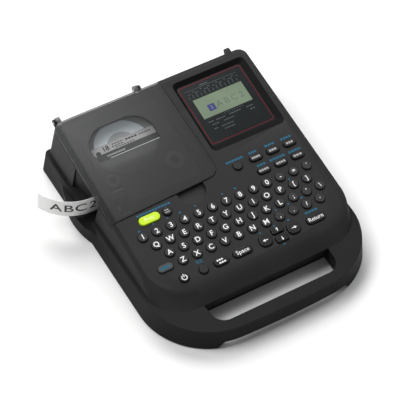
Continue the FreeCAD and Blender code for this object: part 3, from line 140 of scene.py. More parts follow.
def addPaintedSheen(tree, place, look, tones):  # painted sheen: the colour turns paler round one place on the deck, standing in for light on the moulding
    reach = tree.nodes.new("ShaderNodeVectorMath")
    reach.operation = "DISTANCE"
    reach.inputs[1].default_value = onDeck(*look["paintedSheenAt"]).translation
    tree.links.new(place.outputs["Object"], reach.inputs[0])
    fade = tree.nodes.new("ShaderNodeMapRange")
    fade.interpolation_type = "SMOOTHSTEP"
    fade.inputs["From Min"].default_value = 0
    fade.inputs["From Max"].default_value = look["paintedSheenReach"] * mm
    fade.inputs["To Min"].default_value = look["paintedSheenGain"]
    fade.inputs["To Max"].default_value = 0
    tree.links.new(reach.outputs["Value"], fade.inputs["Value"])
    mix = tree.nodes.new("ShaderNodeMix")
    mix.data_type = "RGBA"
    factor, first, second, result = mix.inputs[0], mix.inputs[6], mix.inputs[7], mix.outputs[2]
    second.default_value = (*look["paintedSheenColour"], 1)
    tree.links.new(fade.outputs["Result"], factor)
    tree.links.new(tones, first)
    return result


def addGrain(tree, place, look, shader):  # the mould's fine grain, in the roughness and as a small bump
    grain = tree.nodes.new("ShaderNodeTexNoise")
    grain.inputs["Scale"].default_value = look["grainScale"]
    grain.inputs["Detail"].default_value = surfaceLook["grainDetail"]
    if "stretch" in look:  # brushed or drawn along one way
        mapping = tree.nodes.new("ShaderNodeMapping")
        mapping.inputs["Scale"].default_value = look["stretch"]
        tree.links.new(place.outputs["Object"], mapping.inputs["Vector"])
        tree.links.new(mapping.outputs["Vector"], grain.inputs["Vector"])
    else:
        tree.links.new(place.outputs["Object"], grain.inputs["Vector"])
    rough = tree.nodes.new("ShaderNodeMapRange")
    rough.inputs["To Min"].default_value = look["rough"] - surfaceLook["roughSpread"]
    rough.inputs["To Max"].default_value = look["rough"] + surfaceLook["roughSpread"]
    tree.links.new(grain.outputs["Fac"], rough.inputs["Value"])
    tree.links.new(rough.outputs["Result"], shader.inputs["Roughness"])
    bump = tree.nodes.new("ShaderNodeBump")
    bump.inputs["Strength"].default_value = look["bump"]
    bump.inputs["Distance"].default_value = surfaceLook["grainDepth"]
    tree.links.new(grain.outputs["Fac"], bump.inputs["Height"])
    tree.links.new(bump.outputs["Normal"], shader.inputs["Normal"])


def makeMaterial(name, finish):
    look = {**plainLook, **finish}
    material = bpy.data.materials.new(name)
    material.use_nodes = True
    tree = material.node_tree
    shader = tree.nodes["Principled BSDF"]
    shader.inputs["Metallic"].default_value = look["metal"]
    shader.inputs["Specular IOR Level"].default_value = look["shine"]
    shader.inputs["IOR"].default_value = look["ior"]
    shader.inputs["Coat Weight"].default_value = look["coat"]
    shader.inputs["Coat Roughness"].default_value = surfaceLook["coatRough"]
    shader.inputs["Alpha"].default_value = look["alpha"]
    # emission in the finish's own colour, used only as painted glow
    shader.inputs["Emission Color"].default_value = (*look["colour"], 1)
    shader.inputs["Emission Strength"].default_value = look["paintedGlow"]
    place = tree.nodes.new("ShaderNodeTexCoord")
    colour = addTones(tree, place, look)
    # a painted sheen, where the finish asks for one
    if "paintedSheenAt" in look:
        colour = addPaintedSheen(tree, place, look, colour)
    tree.links.new(colour, shader.inputs["Base Color"])
    addGrain(tree, place, look, shader)
    return material


materialLooks = {
    "trayPlastic": {"colour": (0.0078, 0.0078, 0.0081), "rough": 0.58, "shine": 0.26, "ior": 1.28},
    "deckPlastic": {"colour": (0.014, 0.014, 0.0143), "rough": 0.55, "shine": 0.3, "ior": 1.35},
    # the lid has a painted sheen, paler towards its rear left corner where light falls on it
    "lidSmoke": {"colour": (0.024, 0.0245, 0.0245), "rough": 0.34, "shine": 0.32, "ior": 1.4,
                 "alpha": 0.66, "bump": 0.08, "spread": 0.1, "paintedSheenAt": (-72, 88, 0), "paintedSheenReach": 95,
                 "paintedSheenGain": 0.85, "paintedSheenColour": (0.075, 0.077, 0.077)},
    "windowClear": {"colour": (0.1, 0.105, 0.11), "rough": 0.12, "shine": 0.2, "alpha": 0.14,
                    "bump": 0.02},
    "displayBlack": {"colour": (0.004, 0.0062, 0.007), "rough": 0.26, "shine": 0.16, "bump": 0.02},
    "displayRed": {"colour": (0.13, 0.006, 0.016), "rough": 0.6, "shine": 0.1},
    "displayGrey": {"colour": (0.07, 0.083, 0.088), "rough": 0.5, "shine": 0.1},
    "lcdOlive": {"colour": (0.125, 0.17, 0.112), "rough": 0.32, "shine": 0.2, "bump": 0.02},
    "lcdInk": {"colour": (0.06, 0.075, 0.065), "rough": 0.5},
    "lcdBlue": {"colour": (0.012, 0.016, 0.11), "rough": 0.45},
    "lcdPale": {"colour": (0.13, 0.15, 0.3), "rough": 0.45},
    "roundKeyPlastic": {"colour": (0.012, 0.012, 0.0123), "rough": 0.4, "shine": 0.3},
    "plainKeyPlastic": {"colour": (0.008, 0.008, 0.0085), "rough": 0.42, "shine": 0.25},
    "functionKeyBlack": {"colour": (0.0035, 0.0035, 0.004), "rough": 0.32, "shine": 0.3, "bump": 0.05},
    "shiftKeyGrey": {"colour": (0.034, 0.036, 0.04), "rough": 0.42},
    "printGreen": {"colour": (0.46, 0.66, 0.008), "rough": 0.3, "shine": 0.4, "spread": 0.05,
                   "bump": 0.05},
    "legendWhite": {"colour": (0.74, 0.74, 0.74), "rough": 0.5, "spread": 0.02},
    "legendDim": {"colour": (0.3, 0.3, 0.3), "rough": 0.5, "spread": 0.02},
    "legendPale": {"colour": (0.76, 0.82, 0.42), "rough": 0.5, "spread": 0.02},
    "legendBlue": {"colour": (0.006, 0.09, 0.155), "rough": 0.55, "shine": 0.2, "spread": 0.05},
    "tapeWhite": {"colour": (0.84, 0.84, 0.83), "rough": 0.38, "shine": 0.4, "spread": 0.015,
                  "bump": 0.04},
    "tapeInk": {"colour": (0.012, 0.012, 0.013), "rough": 0.5},
    "stripGrey": {"colour": (0.37, 0.37, 0.365), "rough": 0.45, "spread": 0.03},
    # painted shade for the walls of the display recess
    "paintedRecessShade": {"colour": (0.005, 0.005, 0.0054), "rough": 0.62, "shine": 0.14, "ior": 1.3},
    # this grey also colours the painted highlight along the lid window's near edge
    "hubGreyAndHighlight": {"colour": (0.36, 0.38, 0.372), "rough": 0.5},
    "bandGrey": {"colour": (0.03, 0.031, 0.031), "rough": 0.55},
    # the roll film and core have a painted glow: emission standing in for light that reaches the roll under
    # the lid
    "rollFilm": {"colour": (0.46, 0.51, 0.53), "rough": 0.5, "spread": 0.06, "stretch": (1, 1, 0.05),
                 "paintedGlow": 0.14},
    "rollCore": {"colour": (0.27, 0.285, 0.29), "rough": 0.5, "paintedGlow": 0.12},
    "cartridgeGrey": {"colour": (0.17, 0.17, 0.172), "rough": 0.5},
    "cartridgeCap": {"colour": (0.5, 0.51, 0.52), "rough": 0.5},
    "innerBlack": {"colour": (0.010, 0.010, 0.011), "rough": 0.6},
    "ribbonBlack": {"colour": (0.004, 0.004, 0.005), "rough": 0.22, "shine": 0.5, "bump": 0.04},
    "siliconeMat": {"colour": (0.06, 0.065, 0.07), "rough": 0.7},
    "boardGreen": {"colour": (0.008, 0.055, 0.022), "rough": 0.35, "shine": 0.5, "grainScale": 900},
    "gearNylon": {"colour": (0.62, 0.61, 0.56), "rough": 0.45, "bump": 0.1},
    "sheetSteel": {"colour": (0.52, 0.53, 0.54), "rough": 0.34, "metal": 1, "stretch": (0.06, 1, 1),
                   "grainScale": 1800, "bump": 0.12},
    "motorSteel": {"colour": (0.46, 0.46, 0.47), "rough": 0.3, "metal": 1, "stretch": (1, 1, 0.05)},
    "headBlack": {"colour": (0.008, 0.008, 0.009), "rough": 0.25, "shine": 0.5},
    "finAluminium": {"colour": (0.64, 0.65, 0.67), "rough": 0.36, "metal": 1, "stretch": (1, 1, 0.06)},
    "screwSteel": {"colour": (0.40, 0.40, 0.42), "rough": 0.25, "metal": 1, "grainScale": 1500},
    "rollerRubber": {"colour": (0.014, 0.014, 0.014), "rough": 0.75, "shine": 0.2},
    "footRubber": {"colour": (0.008, 0.008, 0.008), "rough": 0.85, "shine": 0.15, "bump": 0.4},
    "cellWrap": {"colour": (0.02, 0.035, 0.12), "rough": 0.28, "shine": 0.5, "coat": 0.3},
    "socketBlack": {"colour": (0.008, 0.008, 0.009), "rough": 0.4},
    "floorWhite": {"colour": (0.78, 0.78, 0.78), "rough": 0.9, "shine": 0.1, "spread": 0.004,
                   "bump": 0.02},
}
materials = {name: makeMaterial(name, look) for name, look in materialLooks.items()}
print("materials made:", len(materials))


# shared ways of making a piece, all sizes in millimetres

def addPiece(name, mesh, material, body, *replaced):
    piece = bpy.data.objects.new(name, mesh)
    bpy.context.scene.collection.objects.link(piece)
    mesh.materials.clear()
    mesh.materials.append(materials[material])
    if body:
        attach(piece, body)
    if replaced:
        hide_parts(*replaced)
    return piece


edgeLook = {"softAngle": 28, "doubles": 1e-6, "flatAngle": 0.4}


def softEdges(piece, width, segments):
    bevel = piece.modifiers.new("softEdges", "BEVEL")
    bevel.width = width * mm
    bevel.segments = segments
    bevel.limit_method = "ANGLE"
    bevel.angle_limit = math.radians(edgeLook["softAngle"])
    bevel.harden_normals = True
    bevel.use_clamp_overlap = True


def smoothMesh(mesh):
    for face in mesh.polygons:
        face.use_smooth = True
    mesh.set_sharp_from_angle(angle=math.radians(edgeLook["softAngle"]))


def refine(node, material, width, segments=2):  # a cleaned copy of a CAD node, with soft edges
    shape = bmesh.new()
    shape.from_mesh(nodes[node].data)
    bmesh.ops.remove_doubles(shape, verts=shape.verts, dist=edgeLook["doubles"])
    bmesh.ops.dissolve_limit(shape, angle_limit=math.radians(edgeLook["flatAngle"]), verts=shape.verts,
                             edges=shape.edges)
    mesh = shapeMesh(node + "Fine", shape)
    smoothMesh(mesh)
    piece = addPiece(node + "Fine", mesh, material, bodyOf[node], node)
    softEdges(piece, width, segments)


def shapeMesh(name, shape, place=None):  # a finished bmesh as a mesh, at its place
    mesh = bpy.data.meshes.new(name)
    shape.to_mesh(mesh)
    shape.free()
    if place:
        mesh.transform(place)
    return mesh


def joinMeshes(name, meshes):
    shape = bmesh.new()
    for mesh in meshes:
        shape.from_mesh(mesh)
    return shapeMesh(name, shape)


def inkMesh(word, size, place, weight):  # one printed word, flat on its place
    data = bpy.data.curves.new("ink", "FONT")
    data.body = word
    data.size = size * mm
    data.offset = size * weight * mm
    data.align_x = "CENTER"
    data.align_y = "CENTER"
    data.resolution_u = 4
    text = bpy.data.objects.new("ink", data)
    bpy.context.scene.collection.objects.link(text)
    bpy.context.view_layer.update()
    mesh = bpy.data.meshes.new_from_object(text.evaluated_get(bpy.context.evaluated_depsgraph_get()))
    bpy.data.objects.remove(text)
    mesh.transform(place)
    return mesh


def padShape(x0, x1, s0, s1, corner=0.0, steps=4):  # a flat patch with round corners, in the deck's frame
    shape = bmesh.new()
    bmesh.ops.create_grid(shape, x_segments=1, y_segments=1, size=0.5)
    bmesh.ops.scale(shape, vec=((x1 - x0) * mm, (s1 - s0) * mm, 1), verts=shape.verts)
    bmesh.ops.translate(shape, vec=((x0 + x1) / 2 * mm, (s0 + s1) / 2 * mm, 0), verts=shape.verts)
    if corner:
        bmesh.ops.bevel(shape, geom=shape.verts[:], offset=corner * mm, segments=steps, profile=0.5,
                        affect="VERTICES", material=-1, clamp_overlap=False)
    return shape


def inkPatch(x0, x1, s0, s1, corner, lift):
    return shapeMesh("patch", padShape(x0, x1, s0, s1, corner), onDeck(0, 0, lift))


discRoom = 0.01


def discMesh(x, s, radius, lift, steps=4):  # a round patch: a square whose round corners nearly meet
    shape = padShape(x - radius, x + radius, s - radius, s + radius, radius - discRoom, steps)
    return shapeMesh("disc", shape, onDeck(0, 0, lift))


def circleShape(radius, segments):
    shape = bmesh.new()
    bmesh.ops.create_circle(shape, cap_ends=True, segments=segments, radius=radius * mm)
    return shape


barFill = 0.78


def wordBars(x, s, length, lift, height, count):  # a small caption, as a run of short bars
    bars = []
    step = length / count
    for number in range(count):
        left = x - length / 2 + number * step
        bars.append(inkPatch(left, left + step * barFill, s - height / 2, s + height / 2, 0, lift))
    return bars


def barCount(length, pitch):
    return max(2, round(length / pitch))


def addInk(name, meshes, material, body):
    piece = addPiece(name, joinMeshes(name, meshes), material, body)


# floor, in metres, level with the feet's undersides

floorLook = {"half": 4.0, "level": -0.001}
floorShape = bmesh.new()
bmesh.ops.create_grid(floorShape, x_segments=1, y_segments=1, size=floorLook["half"])
floorMesh = shapeMesh("floor", floorShape, Matrix.Translation((0, 0, floorLook["level"])))
floor = addPiece("floor", floorMesh, "floorWhite", None)

# housing: material, width of the soft edge, its segments

housing = {
    "lower_case": ("trayPlastic", 0.45, 3),
    "upper_case": ("deckPlastic", 0.3, 2),
    "cartridge_lid": ("lidSmoke", 0.35, 3),
    "lid_window": ("windowClear", 0.12, 2),
    "battery_door": ("trayPlastic", 0.2, 2),
    "rubber_feet": ("footRubber", 0.25, 2),
}
for node, (material, width, segments) in housing.items():
    refine(node, material, width, segments)
print("housing done")

# keys

keyBodies = {
    "number_keys": "roundKeyPlastic", "upper_letter_keys": "roundKeyPlastic",
    "middle_letter_keys": "roundKeyPlastic", "lower_letter_keys": "roundKeyPlastic",
    "print_key": "printGreen", "preview_key": "functionKeyBlack", "menu_key": "plainKeyPlastic",
    "length_key": "functionKeyBlack", "size_key": "functionKeyBlack", "font_key": "functionKeyBlack",
    "accent_key": "functionKeyBlack", "symbol_key": "functionKeyBlack", "barcode_key": "functionKeyBlack",
    "shift_key": "shiftKeyGrey", "power_key": "functionKeyBlack", "cancel_key": "plainKeyPlastic",
    "lines_key": "functionKeyBlack", "space_key": "functionKeyBlack", "left_key": "functionKeyBlack",
    "up_key": "functionKeyBlack", "down_key": "functionKeyBlack", "right_key": "functionKeyBlack",
    "return_key": "functionKeyBlack",
}
keyLook = {"edge": 0.16, "top": 1.2, "inkLift": 0.03, "pitch": 10, "letter": 4.9, "sign": 4.2,
           "weight": 0.014, "wordWeight": 0.004, "captionTall": 1.5}
for node, material in keyBodies.items():
    refine(node, material, keyLook["edge"])
inkLift = keyLook["inkLift"]
capLevel = keyLook["top"] + inkLift

rowLegends = {  # the first key's place, and what is printed on the row
    "number_keys": (-57.9, -14.15, "1234567890-=´"),
    "upper_letter_keys": (-52.9, -22.45, "QWERTYUIOP[]"),
    "middle_letter_keys": (-47.9, -30.75, "ASDFGHJKL;'\\"),
    "lower_letter_keys": (-42.9, -39.05, "ZXCVBNM,./·"),
}
for node, (first, along, marks) in rowLegends.items():
    inks = []
    for number, mark in enumerate(marks):
        size = keyLook["letter"] if mark.isalnum() else keyLook["sign"]
        place = onDeck(first + keyLook["pitch"] * number, along, capLevel)
        inks.append(inkMesh(mark, size, place, keyLook["weight"]))
    addInk(node + "Legends", inks, "legendWhite", bodyOf[node])

wordLegends = {
    "print_key": (-47.9, -4.1, "Print", 3.6, "legendPale"),
    "space_key": (-6.8, -50.4, "Space", 4.0, "legendWhite"),
    "return_key": (47.0, -50.4, "Return", 3.9, "legendWhite"),
}
for node, (x, s, word, size, material) in wordLegends.items():
    legend = inkMesh(word, size, onDeck(x, s, capLevel), keyLook["wordWeight"])
    addPiece(node + "Legend", legend, material, bodyOf[node])

captionKeys = {  # place, length and number of bars
    "length_key": (35.4, 5.6, 6.2, 4), "size_key": (48.1, 5.6, 5.6, 3), "font_key": (60.8, 5.6, 5.2, 3),
    "accent_key": (35.4, -4.9, 7.0, 4), "symbol_key": (48.1, -4.9, 6.8, 4),
    "barcode_key": (60.8, -4.9, 6.4, 3),
}
for node, (x, s, length, count) in captionKeys.items():
    bars = wordBars(x, s, length, capLevel, keyLook["captionTall"], count)
    addInk(node + "Caption", bars, "legendDim", bodyOf[node])

smallCaptions = {  # each row's place, length, height and number of bars
    "preview": ("legendDim", [(-35.3, -3.4, 3.0, 0.8, 2), (-35.3, -5.0, 3.4, 0.8, 3)]),
    "lines": ("legendWhite", [(-22.6, -49.4, 4.6, 1.0, 3), (-21.6, -51.5, 5.0, 1.0, 3)]),
    "shift": ("legendBlue", [(-55.4, -39.1, 6.6, 2.0, 4)]),
}
for name, (material, rows) in smallCaptions.items():
    bars = []
    for x, s, length, height, count in rows:
        bars += wordBars(x, s, length, capLevel, height, count)
    addInk(name + "Caption", bars, material, bodyOf[name + "_key"])

arrowLook = {"tail": -1.5, "neck": 1.1, "half": 0.24, "head": 1.15, "headAt": 1.0, "headLift": 0.02}
arrowKeys = {"left_key": (10.2, -50.2, 180, 1.0), "up_key": (20.4, -46.8, 90, 0.8),
             "down_key": (20.4, -53.4, -90, 0.8), "right_key": (30.7, -50.2, 0, 1.0)}


def arrowMesh(look, x, s, turn, size):  # a shaft and a three-sided head
    shape = padShape(look["tail"], look["neck"], -look["half"], look["half"])
    head = bmesh.ops.create_circle(shape, cap_ends=True, segments=3, radius=look["head"] * mm)["verts"]
    forward = Matrix.Rotation(math.radians(-90), 3, "Z")
    bmesh.ops.rotate(shape, verts=head, cent=(0, 0, 0), matrix=forward)
    bmesh.ops.translate(shape, verts=head, vec=(look["headAt"] * mm, 0, look["headLift"] * mm))
    place = onDeck(x, s, capLevel) @ Matrix.Rotation(math.radians(turn), 4, "Z")
    return shapeMesh("arrow", shape, place @ Matrix.Diagonal((size, size, 1, 1)))


for node, (x, s, turn, size) in arrowKeys.items():
    addInk(node + "Arrow", [arrowMesh(arrowLook, x, s, turn, size)], "legendWhite", bodyOf[node])

powerLook = {"x": -48.3, "s": -50.4, "radius": 1.35, "outer": 1.42, "stem": (-48.55, -48.05, -50.2, -47.9)}


def powerMesh(look):  # a ring that is open at the top
    shape = bmesh.new()
    bmesh.ops.create_circle(shape, segments=24, radius=look["radius"] * mm)
    ring = bmesh.ops.extrude_edge_only(shape, edges=shape.edges[:])
    outer = [v for v in ring["geom"] if isinstance(v, bmesh.types.BMVert)]
    bmesh.ops.scale(shape, vec=(look["outer"], look["outer"], 1), verts=outer)
    gap = [f for f in shape.faces if f.calc_center_median().y > look["radius"] * mm]
    bmesh.ops.delete(shape, geom=gap, context="FACES")
    return shapeMesh("powerMark", shape, onDeck(look["x"], look["s"], capLevel))


addInk("powerMark", [powerMesh(powerLook), inkPatch(*powerLook["stem"], 0, capLevel)], "legendWhite",
       bodyOf["power_key"])
print("keys done")

# blue marks printed on the deck, each strip from x0 to x1 and s0 to s1

blueStrips = {
    "print": (-54.5, -30.2, 0.15, 1.55), "menu": (15.6, 28.4, 9.3, 10.9), "length": (32.6, 38.6, 9.4, 11.0),
    "size": (44.7, 52.2, 9.6, 11.2), "font": (56.6, 64.8, 9.5, 11.1), "accent": (32.8, 39.6, -1.2, 0.3),
    "symbol": (42.2, 54.0, -1.3, 0.3), "barcode": (56.4, 65.8, -1.3, 0.2),
    "return": (42.6, 52.2, -45.1, -43.7), "cancel": (-36.8, -31.8, -44.0, -43.3),
    "cancelLower": (-36.4, -31.6, -45.3, -44.6),
}
blueDots = [(-58.0, -9.1), (-47.3, -8.3), (-37.3, -8.4), (-28.3, -8.4), (-17.4, -8.3), (2.3, -8.4),
            (11.8, -8.4), (27.3, -33.8), (36.7, -33.5), (46.9, -33.2), (46.6, -17.8), (20.4, -43.3),
            (30.6, -43.6), (9.8, -43.9), (19.8, -57.2)]
blueLook = {"barPitch": 2.2, "wide": 1.5, "narrow": 1.1, "half": 0.55, "corner": 0.2}
blueMarks = []
for x0, x1, s0, s1 in blueStrips.values():
    count = barCount(x1 - x0, blueLook["barPitch"])
    blueMarks += wordBars((x0 + x1) / 2, (s0 + s1) / 2, x1 - x0, inkLift, s1 - s0, count)
for number, (x, s) in enumerate(blueDots):  # every third dot is wider
    wide = blueLook["narrow"] if number % 3 else blueLook["wide"]
    blueMarks.append(inkPatch(x - wide / 2, x + wide / 2, s - blueLook["half"], s + blueLook["half"],
                              blueLook["corner"], inkLift))
addInk("blueMarks", blueMarks, "legendBlue", "case")
print("blue marks done")

# display

display = {"x0": 14.9, "x1": 63.7, "s0": 26.3, "s1": 75.9, "face": -2.2, "edge": 0.1,
           "line": (15.9, 62.8, 27.5, 75.0), "lineWide": 0.42, "lineCorner": 1.6}
refine("display_window", "displayBlack", display["edge"])
face = display["face"] + inkLift


def lineMesh(x0, x1, s0, s1, line, corner, lift):  # a thin closed line
    shape = padShape(x0, x1, s0, s1, corner)
    bmesh.ops.inset_region(shape, faces=shape.faces[:], thickness=line * mm, use_boundary=True,
                           use_even_offset=True)
    middle = max(shape.faces, key=lambda f: f.calc_area())
    bmesh.ops.delete(shape, geom=[middle], context="FACES")
    return shapeMesh("line", shape, onDeck(0, 0, lift))


redLine = lineMesh(*display["line"], display["lineWide"], display["lineCorner"], face)
addInk("displayLine", [redLine], "displayRed", "case")

slopeRun = {"left": 2.0, "right": 3.8, "near": 5.0, "far": 3.2, "corner": 2.0, "soft": 1.6, "lift": 0.05}


def recessShadeMesh(look, run):  # painted shade: a near-black sheet over the frame that slopes down to the display, standing in for the shade in the recess
    low = padShape(look["x0"], look["x1"], look["s0"], look["s1"], run["corner"])
    low.transform(onDeck(0, 0, look["face"] + run["lift"]))
    high = padShape(look["x0"] - run["left"], look["x1"] + run["right"], look["s0"] - run["near"],
                    look["s1"] + run["far"], run["corner"] + run["soft"])
    high.transform(onDeck(0, 0, run["lift"]))
    high.from_mesh(shapeMesh("slopeFoot", low))
    bmesh.ops.delete(high, geom=high.faces[:], context="FACES_ONLY")
    bmesh.ops.bridge_loops(high, edges=high.edges[:])
    bmesh.ops.recalc_face_normals(high, faces=high.faces)
    return shapeMesh("slope", high)


addInk("displayRecessShade", [recessShadeMesh(display, slopeRun)], "paintedRecessShade", "case")

lcdLook = {"pane": (20.6, 57.3, 46.9, 63.0), "block": (27.2, 32.4, 50.6, 55.9), "blockCorner": 0.2,
           "blockMark": (29.8, 53.2), "blockSize": 4.2, "blockWeight": 0.02, "letters": "ABC2",
           "x": 35.8, "s": 53.6, "size": 6.6, "pitch": 5.6, "step": 0.02}
paneLevel, blockLevel, markLevel = [face + lcdLook["step"] * layer for layer in (1, 2, 3)]
addInk("lcdPane", [inkPatch(*lcdLook["pane"], 0, paneLevel)], "lcdOlive", "case")
addInk("lcdBlock", [inkPatch(*lcdLook["block"], lcdLook["blockCorner"], blockLevel)], "lcdBlue", "case")
blockMark = inkMesh("1", lcdLook["blockSize"], onDeck(*lcdLook["blockMark"], markLevel),
                    lcdLook["blockWeight"])
addInk("lcdBlockMark", [blockMark], "lcdPale", "case")
lcdLetters = []
for number, mark in enumerate(lcdLook["letters"]):
    place = onDeck(lcdLook["x"] + lcdLook["pitch"] * number, lcdLook["s"], blockLevel)
    lcdLetters.append(inkMesh(mark, lcdLook["size"], place, 0.0))
addInk("lcdLetters", lcdLetters, "lcdInk", "case")

tickLook = {"count": 13, "x": 19.5, "pitch": 3.0, "wide": 0.35, "foot": 64.2, "top": 66.4, "grow": 1.2,
            "dashFrom": 0.9, "dashTo": 2.2, "dash": 67.9, "dashTall": 0.5, "dashGrow": 1.1}
displayRules = [(19.0, 57.6, 70.6, 70.85), (30.5, 36.5, 71.8, 72.4)]
displayWords = {"tall": 0.7, "barPitch": 1.7, "words": [
    (24, 43.6, 4), (31, 43.4, 7), (42, 43.6, 9), (53, 43.4, 5), (26, 40.9, 5), (36, 40.8, 8),
    (54, 40.9, 4), (24.5, 37.6, 3.2), (33, 37.5, 9), (33.4, 35.0, 8)]}
dotLook = {"count": 8, "x": 35, "pitch": 1.9, "wide": 0.7, "s0": 45.3, "s1": 45.9}
greyMarks = []
for number in range(tickLook["count"]):  # guide ticks over the pane, with dashes above them
    x = tickLook["x"] + tickLook["pitch"] * number
    top = tickLook["top"] + tickLook["grow"] * (number % 3)
    dash = tickLook["dash"] + tickLook["dashGrow"] * (number % 2)
    greyMarks.append(inkPatch(x, x + tickLook["wide"], tickLook["foot"], top, 0, face))
    greyMarks.append(inkPatch(x + tickLook["dashFrom"], x + tickLook["dashTo"], dash,
                              dash + tickLook["dashTall"], 0, face))
greyMarks += [inkPatch(*rule, 0, face) for rule in displayRules]
for x, s, length in displayWords["words"]:
    count = barCount(length, displayWords["barPitch"])
    greyMarks += wordBars(x, s, length, face, displayWords["tall"], count)
for number in range(dotLook["count"]):
    x = dotLook["x"] + dotLook["pitch"] * number
    greyMarks.append(inkPatch(x, x + dotLook["wide"], dotLook["s0"], dotLook["s1"], 0, face))
addInk("displayMarks", greyMarks, "displayGrey", "case")
print("display done")

# cartridge under the lid

cartridge = {"edge": 0.15, "top": -6.4, "rollTop": -7.8, "rollX": -34.5, "rollS": 55.4}
cartridgeNodes = {"tape_cartridge": "cartridgeGrey", "bay_liner": "innerBlack", "tape_roll": "rollFilm"}
for node, material in cartridgeNodes.items():
    refine(node, material, cartridge["edge"])
cartridgeTop = cartridge["top"]

rollRings = {"rollCore": (10.6, "rollCore", 0.05), "rollHub": (6.2, "cartridgeCap", 0.08)}
ringSteps = 24
for name, (radius, material, lift) in rollRings.items():
    ring = discMesh(cartridge["rollX"], cartridge["rollS"], radius, cartridge["rollTop"] + lift, ringSteps)
    addInk(name, [ring], material, bodyOf["tape_roll"])

paperLook = {"corner": 0.4, "thick": 0.12, "lift": 0.02, "inkLift": 0.17}
papers = {
    "cartridgeSticker": (-56.0, -10.8, 54.6, 60.3, "stripGrey"),
    "cartridgeBand": (-54.5, -10.8, 49.4, 54.3, "bandGrey"),
}
for name, (x0, x1, s0, s1, material) in papers.items():  # stuck-on strips of paper
    paper = padShape(x0, x1, s0, s1, paperLook["corner"])
    bmesh.ops.solidify(paper, geom=paper.faces[:], thickness=-paperLook["thick"] * mm)
    paperMesh = shapeMesh("paper", paper, onDeck(0, 0, cartridgeTop + paperLook["lift"]))
    addInk(name, [paperMesh], material, "case")

stickerLevel = cartridgeTop + paperLook["inkLift"]
stickerLook = {"number": "18", "x": -46.6, "s": 57.3, "size": 5.0, "weight": 0.03, "words": [
    (-37.6, 58.6, 8, 0.7, 4), (-37.9, 56.9, 8.5, 0.7, 4), (-27.5, 58.2, 8.6, 1.3, 4),
    (-17.6, 58.0, 9, 0.7, 5), (-33, 55.5, 14, 0.6, 7)], "band": (-41.5, 51.9, 13, 1.1, 8)}
stickerMarks = [inkMesh(stickerLook["number"], stickerLook["size"],
                        onDeck(stickerLook["x"], stickerLook["s"], stickerLevel), stickerLook["weight"])]
for x, s, length, height, count in stickerLook["words"]:
    stickerMarks += wordBars(x, s, length, stickerLevel, height, count)
addInk("stickerMarks", stickerMarks, "tapeInk", "case")
x, s, length, height, count = stickerLook["band"]
addInk("bandMarks", wordBars(x, s, length, stickerLevel, height, count), "hubGreyAndHighlight", "case")

hubLook = {"x": -35.0, "s": 55.6, "radius": 22.0, "far": 49.2, "thick": 0.25, "lift": 0.02}


def hubMesh(look):  # the cartridge's round moulding over the tape roll, cut off along the band
    shape = circleShape(look["radius"], 96)
    bmesh.ops.translate(shape, vec=(look["x"] * mm, look["s"] * mm, 0), verts=shape.verts)
    bmesh.ops.bisect_plane(shape, geom=shape.verts[:] + shape.edges[:] + shape.faces[:], dist=1e-7,
                           plane_co=(0, look["far"] * mm, 0), plane_no=(0, 1, 0), clear_outer=True)
    bmesh.ops.solidify(shape, geom=shape.faces[:], thickness=-look["thick"] * mm)
    return shapeMesh("hub", shape, onDeck(0, 0, cartridgeTop + look["lift"]))


addInk("cartridgeHub", [hubMesh(hubLook)], "hubGreyAndHighlight", "case")

paneEdgeHighlight = {"box": (-48.9, -13.3, 46.1, 46.5), "lift": 0.45}  # painted highlight: a pale strip along the near edge of the lid's window
addInk("paneEdgeHighlight", [inkPatch(*paneEdgeHighlight["box"], 0, paneEdgeHighlight["lift"])], "hubGreyAndHighlight", "cartridge_lid")

stickerHole = {"x": -52.6, "s": 55.6, "radius": 1.7}
holeMesh = shapeMesh("spot", circleShape(stickerHole["radius"], 32),
                     onDeck(stickerHole["x"], stickerHole["s"], stickerLevel))
addInk("stickerHole", [holeMesh], "tapeInk", "case")

capPlaces = {"right": (-10.0, 30.7, 6.5), "left": (-53.3, 34.4, 5.0)}  # x, s and radius
capLook = {"lift": 0.03, "rise": 0.35, "shoulder": 0.34, "sink": 0.3, "lip": 0.2, "hole": 0.45,
           "holeLift": 0.45}


def capMesh(look, x, s, radius):  # a moulded ring on the cartridge's top
    shape = circleShape(radius, 40)
    bmesh.ops.inset_region(shape, faces=shape.faces[:], thickness=radius * look["shoulder"] * mm,
                           depth=look["rise"] * mm, use_boundary=True)
    inner = max(shape.faces, key=lambda f: (len(f.verts), f.calc_center_median().z))
    bmesh.ops.inset_region(shape, faces=[inner], thickness=radius * look["lip"] * mm,
                           depth=-look["sink"] * mm)
    return shapeMesh("cap", shape, onDeck(x, s, cartridgeTop + look["lift"]))


for name, (x, s, radius) in capPlaces.items():
    addInk(name + "Cap", [capMesh(capLook, x, s, radius)], "cartridgeCap", "case")
    hole = discMesh(x, s, radius * capLook["hole"], cartridgeTop + capLook["holeLift"])
    addInk(name + "CapHole", [hole], "innerBlack", "case")
print("cartridge done")

# printed label, straight as far as the slit and curled outside it

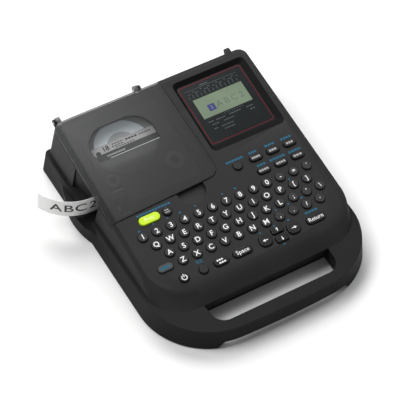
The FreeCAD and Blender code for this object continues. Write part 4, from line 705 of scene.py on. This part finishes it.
labelLook = {"curl": 34.0, "start": -70.0, "place": 29.6, "middle": -16.8, "thick": 0.2, "edge": 0.03,
             "inkLift": 0.06, "letters": "ABC2", "size": 12.0, "weight": 0.01, "first": 24.0,
             "pitch": 8.1, "longest": 1.2}
refine("printed_label", "tapeWhite", labelLook["edge"], 1)


def labelPlace(look, reach, height):  # a place on the label's front face, reach measured outwards
    lift = look["thick"] / 2 + look["inkLift"]
    if reach < 0:
        return Vector((look["start"] - reach, look["place"] - lift, look["middle"] + height))
    angle = reach / look["curl"]
    radius = look["curl"] + lift
    return Vector((look["start"] - radius * math.sin(angle),
                   look["place"] + look["curl"] - radius * math.cos(angle), look["middle"] + height))


labelInk = []
for number, mark in enumerate(labelLook["letters"]):
    shape = bmesh.new()
    shape.from_mesh(inkMesh(mark, labelLook["size"], Matrix.Identity(4), labelLook["weight"]))
    bmesh.ops.triangulate(shape, faces=shape.faces[:])
    longEdges = [e for e in shape.edges if e.calc_length() > labelLook["longest"] * mm]
    bmesh.ops.subdivide_edges(shape, edges=longEdges, cuts=2)
    for vertex in shape.verts:
        reach = labelLook["first"] - labelLook["pitch"] * number - vertex.co.x / mm
        vertex.co = deckTurn @ (labelPlace(labelLook, reach, vertex.co.y / mm) * mm)
    labelInk.append(shapeMesh("ink", shape))
addInk("labelInk", labelInk, "tapeInk", "case")
print("label done")

# everything inside

inside = {
    "lid_hinge_pins": "screwSteel", "lcd_module": "displayGrey", "key_mat": "siliconeMat",
    "main_board": "boardGreen", "mechanism_plate": "sheetSteel", "ribbon_supply": "ribbonBlack",
    "ribbon_takeup": "ribbonBlack", "ribbon_spindle": "gearNylon", "platen_roller": "rollerRubber",
    "platen_shaft": "sheetSteel", "platen_gear": "gearNylon", "idler_gear": "gearNylon",
    "reduction_gear": "gearNylon", "motor_pinion": "screwSteel", "feed_motor": "motorSteel",
    "gear_axles": "sheetSteel", "print_head": "headBlack", "head_bracket": "finAluminium",
    "cutter_fixed_blade": "sheetSteel", "cutter_moving_blade": "sheetSteel", "cutter_motor": "motorSteel",
    "batteries": "cellWrap", "battery_contacts": "sheetSteel", "power_jack": "socketBlack",
    "case_screws": "screwSteel",
}
insideEdge = 0.08
for node, material in inside.items():
    refine(node, material, insideEdge, 1)
print("inside done")
